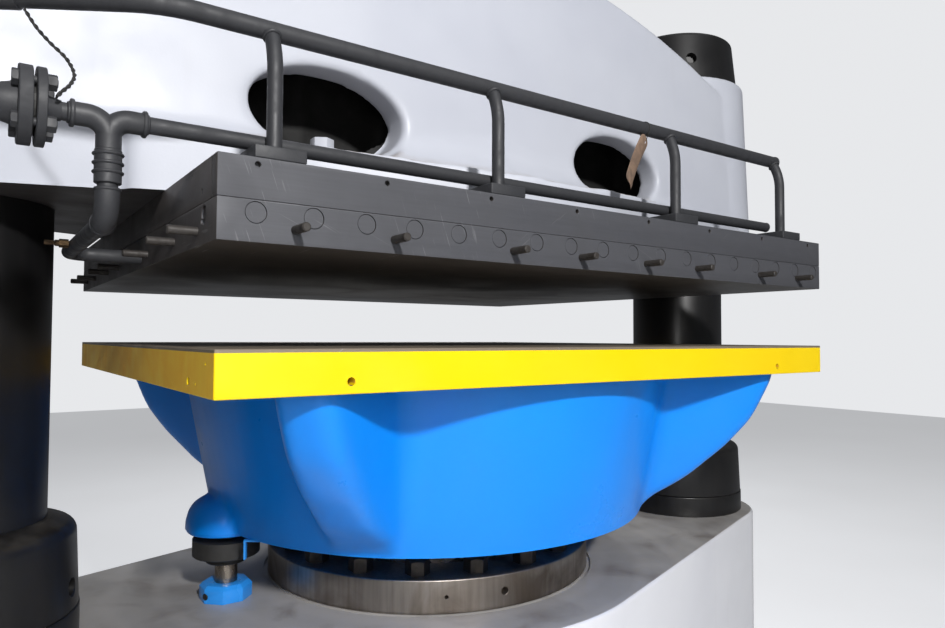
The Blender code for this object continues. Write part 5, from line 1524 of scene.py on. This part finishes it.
@dataclass(frozen=True)
class Pipework:
    """The two headers with their downcomers, blocks, tee, union, drop pipe and flanges."""

    header_radius: float = 0.0168
    header_y: float = -0.7348
    header_rise: float = 0.242
    bend_place: float = -0.972
    bend_radius: float = 0.2
    tail: float = 0.22
    tail_turn: float = 149.0
    tail_steps: int = 24
    bend_steps: int = 16
    sides: int = 40
    last_spare: float = 0.02
    cap_radius: float = 0.0198
    cap_length: float = 0.11
    cap_round: float = 0.003
    cap_foot: tuple[tuple[float, float], ...] = ((0.0, 0.002), (0.0015, 0.0))
    down_radius: float = 0.0134
    down_count: int = 4
    down_inset: float = 0.038
    knee: float = 0.2035
    down_bend: float = 0.145
    down_sunk: float = 0.002
    down_bead_rise: float = 0.0006
    bead: float = 0.0034
    end_bead: float = 0.0022
    block_round: float = 0.0022
    return_radius: float = 0.0135
    return_rise: float = 0.04
    return_bead: float = 0.0018
    weld_inset: float = 0.001
    tee_radius: float = 0.0175
    tee_place: float = -1.045
    tee_length: float = 0.106
    tee_bend: float = 0.03
    tee_drop: float = 0.048
    tee_ring: float = 0.021
    tee_ring_length: float = 0.006
    tee_ring_edge: float = 0.0015
    tee_ring_lip: float = 0.001
    tee_bead: float = 0.003
    tee_swell: float = 0.0008
    union_radius: float = 0.0195
    union_ring: float = 0.0225
    union_drops: tuple[float, ...] = (0.004, 0.018, 0.032)
    union_band: float = 0.006
    union_edge: float = 0.0006
    union_chamfer: float = 0.001
    union_sides: int = 48
    drop_radius: float = 0.0148
    drop_bend: float = 0.04
    drop_rise: float = 0.025
    drop_inlet: float = -0.195
    elbow_radius: float = 0.0178
    elbow_reach: float = 0.046
    elbow_bead: float = 0.0028
    drain_flats: float = 0.0148
    drain_nut: float = 0.016
    drain_round: float = 0.0015
    drain_neck: tuple[tuple[float, float], ...] = (
        (0.005, 0.03), (0.0042, 0.028), (0.0042, 0.024), (0.0062, 0.022), (0.0062, 0.0), (0.0, 0.0),
    )
    drain_sides: int = 28
    flange_edge: float = 0.0015
    flange_thickness: float = 0.013
    flange_sides: int = 96
    hub_length: float = 0.02
    hub_tip: float = 0.0015
    hub_root: float = 0.007
    bolt_count: int = 4
    bolt_flats: float = 0.021
    bolt_radius: float = 0.006
    bolt_head: float = 0.008
    bolt_nut: float = 0.012
    bolt_end: float = 0.0015
    bolt_sunk: float = 0.004
    bolt_round: float = 0.001
    bolt_sides: int = 24
    stub_neck: tuple[tuple[float, float], ...] = (
        (0.0, 0.0), (0.03, 0.0), (0.03, 0.01), (0.0255, 0.026), (0.0215, 0.04),
    )
    stub_tip: tuple[tuple[float, float], ...] = (
        (0.0215, 0.025), (0.0255, 0.025), (0.027, 0.0235), (0.027, 0.003), (0.0245, 0.0), (0.0, 0.0),
    )
    stub_sides: int = 56
    platen_front: float = -0.8
    platen_side: float = -0.9

    def paint(self, shapes: list[Shape], name: str, nodes: list[str], smooth: float = 40.0) -> None:
        """Show shapes as one painted piece of the pipework."""
        show(merged(shapes), name, Body.FRAME, Slot.PIPE, nodes, smooth=smooth)

    def build(self) -> None:
        """Build the headers, the return line and the flanges."""
        self.upper_header()
        self.return_line()
        self.flanges()

    def upper_header(self) -> None:
        """Build the upper header, its bent tail and sleeve, and the four downcomers on their blocks."""
        platen = high("upper_plate").z
        level = platen + self.header_rise
        last = Vector((middle(f"manifold_block_{self.down_count}").x + self.last_spare, self.header_y, level))
        bend = Vector((self.bend_place, self.header_y, level))
        outward = compass(self.tail_turn)
        tail = bend + outward * self.tail
        weld = last - ALONG * (self.header_radius * 0.2)
        shapes = [pipe(bent_path([tail, bend, last], self.bend_radius, self.tail_steps), self.header_radius),
                  bead(weld, ALONG, self.header_radius * 0.96, self.end_bead)]
        y = self.platen_front + self.down_inset
        for index in range(1, self.down_count + 1):
            node = f"manifold_block_{index}"
            x, block_top = middle(node).x, high(node).z
            root, knee = Vector((x, self.header_y, level)), Vector((x, y, platen + self.knee))
            path = bent_path([root, knee, (x, y, block_top - self.down_sunk)], self.down_bend, self.bend_steps)
            shapes.append(pipe(path, self.down_radius))
            down = (knee - root).normalized()
            mouth = root + down * (self.header_radius + self.bead * 0.2)
            shapes.append(bead(mouth, down, self.down_radius, self.bead))
            shapes.append(bead((x, y, block_top + self.down_bead_rise), UP, self.down_radius, self.bead * 0.8))
            self.paint([soften(block(low(node), high(node)), self.block_round, 3)], node + "_worn", [node])
        self.paint(shapes, "upper_header", ["upper_manifold"], 60.0)
        start = tail + outward * FIT_GAP
        profile = [(0.0, self.cap_length), *rounded(self.cap_radius, self.cap_length, self.cap_round, 3)]
        profile += [(self.cap_radius - inset, rise) for inset, rise in self.cap_foot] + [(0.0, 0.0)]
        self.paint([aimed(turned(profile, self.sides), start, outward)], "header_sleeve", ["header_end_cap"])

    def return_line(self) -> None:
        """Build the lower header, the twin-elbow tee, the union, the drop pipe and its fitting."""
        level = high("upper_plate").z + self.return_rise
        centre = Vector((self.tee_place, self.header_y, level))
        last = Vector((high("lower_header").x, self.header_y, level))
        header = pipe([centre + ALONG * (self.tee_length / 2), last], self.return_radius)
        weld = bead(last - ALONG * self.weld_inset, ALONG, self.return_radius * 0.93, self.return_bead)
        self.paint([header, weld], "return_header", ["lower_header"], 60.0)
        self.tee(centre)
        self.union()
        self.drop_line()
        self.drain()

    def tee(self, centre: Vector) -> None:
        """Build the tee as two elbows that meet in one foot."""
        foot = centre - UP * self.tee_drop
        ring, long, edge = self.tee_ring, self.tee_ring_length, self.tee_ring_edge
        lip = ring - self.tee_ring_lip
        band = [(0.0, 0.0), (lip, 0.0), (ring, edge), (ring, long - edge), (lip, long), (0.0, long)]
        shapes = []
        for sign in (1.0, -1.0):
            inward = ALONG * sign
            end = centre - inward * (self.tee_length / 2)
            shapes.append(pipe(bent_path([end, centre, foot], self.tee_bend, self.bend_steps), self.tee_radius))
            shapes.append(aimed(turned(band, self.sides), end, inward))
            shapes.append(bead(end - inward * self.weld_inset, ALONG, self.return_radius, self.tee_bead))
        crotch = foot + UP * (self.tee_bend * 0.7)
        shapes.append(rod(foot, crotch, self.tee_radius + self.tee_swell, self.sides))
        self.paint(shapes, "twin_elbow_tee", ["sweep_tee"], 50.0)

    def union(self) -> None:
        """Build the union with its three raised rings."""
        top, bottom = high("pipe_union").z, low("pipe_union").z
        wide, ring, edge, third = self.union_radius, self.union_ring, self.union_edge, self.union_band / 3
        chamfer = self.union_chamfer
        profile = [(0.0, top), (wide - chamfer, top), (wide, top - chamfer)]
        for drop in self.union_drops:
            crest = top - drop
            for radius, share in ((wide, 0.0), (ring - edge, 0.7), (ring, 1.2), (ring, 1.8), (ring - edge, 2.3),
                                  (wide, 3.0)):
                profile.append((radius, crest - third * share))
        profile += [(wide, bottom + chamfer), (wide - chamfer, bottom), (0.0, bottom)]
        shape = moved(turned(profile, self.union_sides), (self.tee_place, self.header_y, 0.0))
        self.paint([shape], "union_rings", ["pipe_union"], 35.0)

    def drop_line(self) -> None:
        """Build the pipe from the union down and back into the platen's side, with its elbow."""
        run = low("heating_platen").z + self.drop_rise
        top = Vector((self.tee_place, self.header_y, low("pipe_union").z))
        corner = Vector((self.tee_place, self.header_y, run))
        turn = Vector((self.tee_place, self.drop_inlet, run))
        inlet = Vector((self.platen_side, self.drop_inlet, run))
        above, behind = corner + UP * self.elbow_reach, corner + BACK * self.elbow_reach
        shapes = []
        for corners, radius in (([top, corner, turn, inlet], self.drop_radius),
                                ([above, corner, behind], self.elbow_radius)):
            shapes.append(pipe(bent_path(corners, self.drop_bend, self.bend_steps), radius))
        for end, way in ((above, UP), (behind, BACK)):
            shapes.append(bead(end, way, self.elbow_radius - self.weld_inset, self.elbow_bead))
        self.paint(shapes, "drop_line", ["drop_pipe"], 60.0)

    def drain(self) -> None:
        """Build the small fitting that points out of the platen's left side."""
        node = "drain_fitting"
        root, long = Vector((high(node).x, middle(node).y, middle(node).z)), high(node).x - low(node).x
        nut = aimed(hexagon(self.drain_flats, self.drain_nut), root, -ALONG)
        neck = [(0.0, long), *rounded(self.drain_neck[0][0], long, self.drain_round, 3), *self.drain_neck]
        fitting = merged([nut, aimed(turned(neck, self.drain_sides), root, -ALONG)])
        show(fitting, "drain_brass", Body.FRAME, Slot.BRASS, [node], smooth=25.0)

    def flanges(self) -> None:
        """Build the bolted pair of flanges, the gasket between them and the stub behind."""
        spot = middle("outer_flange")
        for node in ("inner_flange", "outer_flange"):
            wide, far = (high(node).z - low(node).z) / 2, Vector((low(node).x, spot.y, spot.z))
            thick = high(node).x - far.x if node == "outer_flange" else self.flange_thickness
            disc = ring_profile(0.0, wide, thick, 0.0, self.flange_edge, self.flange_edge, 4)
            shapes = [aimed(turned(disc, self.flange_sides), far, ALONG)]
            if node == "inner_flange":
                face, end = far + ALONG * thick, Vector((high(node).x, spot.y, spot.z))
                neck, long = self.return_radius, self.hub_length
                hub = [(0.0, long), (neck + self.hub_tip, long), (neck + self.hub_root, 0.0), (0.0, 0.0)]
                shapes += [aimed(turned(hub, self.sides), face, ALONG), pipe([face, end], neck)]
            self.paint(shapes, node + "_disc", [node], 30.0)
        dress("flange_gasket", "black_rubber")
        for index in range(1, self.bolt_count + 1):
            node = f"flange_bolt_{index}"
            place = middle(node)
            inner = Vector((low("inner_flange").x + self.flange_thickness, place.y, place.z))
            outer = Vector((low("outer_flange").x, place.y, place.z))
            tip = inner + ALONG * (self.bolt_nut + self.bolt_end)
            shank = rod(outer - ALONG * self.bolt_sunk, tip, self.bolt_radius, self.bolt_sides)
            head = aimed(hexagon(self.bolt_flats, self.bolt_head), outer - ALONG * FIT_GAP, -ALONG)
            nut = aimed(hexagon(self.bolt_flats, self.bolt_nut), inner + ALONG * FIT_GAP, ALONG)
            self.paint([soften(shank, self.bolt_round), head, nut], node + "_hex", [node], 20.0)
        node = "supply_stub"
        start, long = Vector((high(node).x, spot.y, spot.z)), high(node).x - low(node).x
        profile = [*self.stub_neck, *((radius, long - back) for radius, back in self.stub_tip)]
        self.paint([aimed(turned(profile, self.stub_sides), start, -ALONG)], "supply_neck", [node], 35.0)


@dataclass(frozen=True)
class Trim:
    """The twisted wire at the flange and the card tag on the upper header."""

    wire_radius: float = 0.0031
    strand_radius: float = 0.0017
    twist_pitch: float = 0.028
    path_steps: int = 12
    resolution: int = 3
    wire_path: tuple[Colour, ...] = (
        (-1.1531, -0.628, 2.0084), (-1.1375, -0.648, 1.9759), (-1.1198, -0.668, 1.9486),
        (-1.0997, -0.690, 1.9215), (-1.0909, -0.716, 1.8913), (-1.0973, -0.738, 1.8678),
        (-1.1105, -0.757, 1.8476), (-1.1174, -0.765, 1.8366),
    )
    tag_width: float = 0.058
    tag_height: float = 0.14
    tag_thickness: float = 0.0012
    tag_corner: float = 0.012
    tag_turn: float = 27.0
    tag_lean: float = 27.0
    tag_bow: float = 0.005
    tag_grid: tuple[int, int] = (14, 34)
    tag_hole: float = 0.004
    tag_hole_drop: float = 0.009
    string_radius: float = 0.001
    string_steps: int = 40
    string_slack: float = 0.003

    def build(self) -> None:
        """Build the wire, the tag and its string."""
        self.wire()
        self.tag()

    def wire(self) -> None:
        """Build the wire as two strands twisted round its path."""
        line = smoothed([Vector(point) for point in self.wire_path], self.path_steps)
        travelled, side = 0.0, UP.copy()
        paths: list[list[Vector]] = [[], []]
        for index, point in enumerate(line):
            ahead = line[min(index + 1, len(line) - 1)] - line[max(index - 1, 0)]
            ahead.normalize()
            side = (side - ahead * side.dot(ahead)).normalized()
            aside = ahead.cross(side)
            if index:
                travelled += (point - line[index - 1]).length
            turn = math.tau * travelled / self.twist_pitch
            offset = (side * math.cos(turn) + aside * math.sin(turn)) * (self.wire_radius - self.strand_radius)
            paths[0].append(point + offset)
            paths[1].append(point - offset)
        strands = merged([pipe(path, self.strand_radius, self.resolution) for path in paths])
        made = show(
            strands, "bonding_wire_twisted", Body.FRAME, Slot.BLACK, ["bonding_wire"], "black_rubber", 60.0
        )
        length = sum((b - a).length for a, b in zip(line, line[1:]))
        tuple(self.wire_path[0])

    def tag(self) -> None:
        """Build the curved card and its string."""
        card = bmesh.new()
        bmesh.ops.create_grid(card, x_segments=self.tag_grid[0], y_segments=self.tag_grid[1], size=0.5)
        half_x, half_y = self.tag_width / 2, self.tag_height / 2
        for spot in card.verts:
            x, y = spot.co.x * self.tag_width, spot.co.y * self.tag_height
            over_x, over_y = abs(x) - (half_x - self.tag_corner), abs(y) - (half_y - self.tag_corner)
            if over_x > 0 and over_y > 0:
                reach = math.hypot(over_x, over_y)
                share = min(1.0, max(over_x, over_y) / reach)
                x = math.copysign(half_x - self.tag_corner + over_x * share, x)
                y = math.copysign(half_y - self.tag_corner + over_y * share, y)
            bow = self.tag_bow * (1 - (x / half_x) ** 2) + self.tag_bow * 0.8 * (y / half_y) ** 2
            spot.co = (x, -bow, y)
        pulled = bmesh.ops.extrude_face_region(card, geom=card.faces[:])["geom"]
        bmesh.ops.translate(card, vec=(0.0, self.tag_thickness, 0.0),
                            verts=[item for item in pulled if isinstance(item, bmesh.types.BMVert)])
        bmesh.ops.recalc_face_normals(card, faces=card.faces)
        eye = UP * (half_y - self.tag_hole_drop)
        hole = rod(eye - BACK * half_x, eye + BACK * half_x, self.tag_hole, 24)
        card = shape_of(boolean(solid(card, "card"), hole, "DIFFERENCE"))
        lean, spin = (Matrix.Rotation(math.radians(angle), 4, axis)
                      for angle, axis in ((self.tag_lean, "Y"), (self.tag_turn, "Z")))
        turn = lean @ spin
        place = Vector((middle("hanging_tag").x, Pipework.header_y, high("hanging_tag").z - self.tag_hole_drop))
        hung = Matrix.Translation(place) @ turn @ Matrix.Translation(BACK * self.tag_bow - eye)
        bmesh.ops.transform(card, matrix=hung, verts=card.verts)
        show(card, "card_tag", Body.FRAME, Slot.CARD, ["hanging_tag"], smooth=50.0)

        head = Vector((place.x, Pipework.header_y, high("upper_plate").z + Pipework.header_rise))
        drop = place.z + self.tag_hole - self.string_radius - FIT_GAP
        reach = Pipework.header_radius + self.string_radius
        loop = []
        wrap = math.acos(reach / (head.z - drop))
        for step in range(self.string_steps + 1):
            angle = wrap + (math.tau - 2 * wrap) * step / self.string_steps
            loop.append(head + Vector((0.0, -reach * math.sin(angle), -reach * math.cos(angle))))
        foot = Vector((head.x, head.y, drop))
        aside = turn @ -BACK * (self.tag_bow + self.string_slack)
        loop += [foot - aside * 0.5, foot, foot + aside * 0.5]
        loop.append(loop[0])
        string = pipe(loop, self.string_radius, self.resolution)
        show(string, "tag_loop", Body.FRAME, Slot.CARD, ["tag_string"], "black_rubber", 60.0)


@dataclass(frozen=True)
class Studio:
    """The camera, the plain surroundings and the lamps."""

    camera_place: Colour = (-1.21, -1.928, 1.4924)
    yaw: float = 35.53
    pitch: float = 1.94
    roll: float = 0.23
    focal_pixels: float = 702.0
    floor_colour: Colour = (0.62, 0.62, 0.63)
    wall_colour: Colour = (0.80, 0.81, 0.83)
    floor_glow: float = 0.5
    sky: Colour = (0.72, 0.75, 0.80)
    sky_strength: float = 0.125
    floor_size: float = 14.0
    floor_drop: float = 0.0005

    def build(self) -> None:
        """Build the studio."""
        scene = bpy.context.scene
        scene.view_settings.view_transform = "Standard"
        self.camera(scene)
        self.surroundings(scene)
        self.lamps()

    def camera(self, scene: bpy.types.Scene) -> None:
        """Place the camera as the photograph's was."""
        data = bpy.data.cameras.new("camera")
        data.sensor_width = SENSOR
        data.lens = self.focal_pixels / IMAGE_WIDTH * SENSOR
        data.clip_start, data.clip_end = 0.05, 100.0
        camera = linked("camera", data)
        yaw, pitch = math.radians(self.yaw), math.radians(self.pitch)
        ahead = Vector((math.sin(yaw) * math.cos(pitch), math.cos(yaw) * math.cos(pitch), math.sin(pitch)))
        aim = ahead.to_track_quat("-Z", "Y").to_matrix().to_4x4()
        camera.matrix_world = (
            Matrix.Translation(self.camera_place) @ aim @ Matrix.Rotation(math.radians(self.roll), 4, "Z")
        )
        scene.camera = camera

    def surroundings(self, scene: bpy.types.Scene) -> None:
        """Lay a pale floor, and a world that is pale where the camera sees it."""
        floor = bmesh.new()
        bmesh.ops.create_grid(floor, x_segments=1, y_segments=1, size=self.floor_size)
        made = solid(floor, "floor")
        recipe = Recipe("floor_concrete", 0.6)
        tone = recipe.blend(recipe.noise(0.8, 6.0), self.floor_colour, self.wall_colour)
        seen = recipe.node("LightPath", {}).outputs["Is Camera Ray"]
        glow = recipe.product(seen, self.floor_glow)
        recipe.set(recipe.shader.inputs["Emission Color"], self.wall_colour)
        recipe.set(recipe.shader.inputs["Emission Strength"], glow)
        made.data.materials.append(recipe.done(tone))
        made.location.z = -self.floor_drop
        made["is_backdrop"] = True
        world = scene.world = bpy.data.worlds.new("surroundings")
        world.use_nodes = True
        tree = world.node_tree
        tree.nodes.clear()
        out, mix, lit, seen, path = (
            tree.nodes.new("ShaderNode" + kind)
            for kind in ("OutputWorld", "MixShader", "Background", "Background", "LightPath")
        )
        for node, colour, strength in ((lit, self.sky, self.sky_strength), (seen, self.wall_colour, 1.0)):
            node.inputs["Color"].default_value = (*colour, 1.0)
            node.inputs["Strength"].default_value = strength
        tree.links.new(path.outputs["Is Camera Ray"], mix.inputs["Fac"])
        tree.links.new(lit.outputs[0], mix.inputs[1])
        tree.links.new(seen.outputs[0], mix.inputs[2])
        tree.links.new(mix.outputs[0], out.inputs["Surface"])

    def lamps(self) -> None:
        """Hang the lamps: a small strong one in front, a weak one by the camera, two broad ones above."""
        for name, place, aim, size, power, tint in (
            ("key_front", (-1.35, -4.8, 3.59), (-0.1, 0.0, 1.75), 0.28, 268.0, (1.0, 0.99, 0.98)),
            ("near_camera", (-1.25, -2.1, 1.75), (0.0, 0.0, 1.6), 0.5, 5.5, (1.0, 0.99, 0.98)),
            ("roof_rear", (2.5, 4.6, 5.2), (0.2, 0.0, 1.6), 3.0, 150.0, (0.97, 0.98, 1.0)),
            ("roof_soft", (0.5, -1.5, 5.6), (0.0, 0.0, 1.4), 4.0, 28.0, (0.96, 0.98, 1.0)),
        ):
            data = bpy.data.lights.new(name, "AREA")
            data.size = size
            data.energy = power
            data.color = tint
            lamp = linked(name, data)
            lamp.location = place
            lamp.rotation_mode = "QUATERNION"
            lamp.rotation_quaternion = (Vector(aim) - Vector(place)).to_track_quat("-Z", "Y")


def main() -> None:
    logging.basicConfig(level=logging.INFO, format="%(message)s")
    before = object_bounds()
    for unit in (Studio, Base, Columns, Gland, TableUnit, Guides, Platens, Crosshead, Pipework, Trim):
        unit().build()
    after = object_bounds()
    sizes = [[[round(value, 6) for value in corner] for corner in box] for box in (before, after)]


if __name__ == "__main__":
    main()
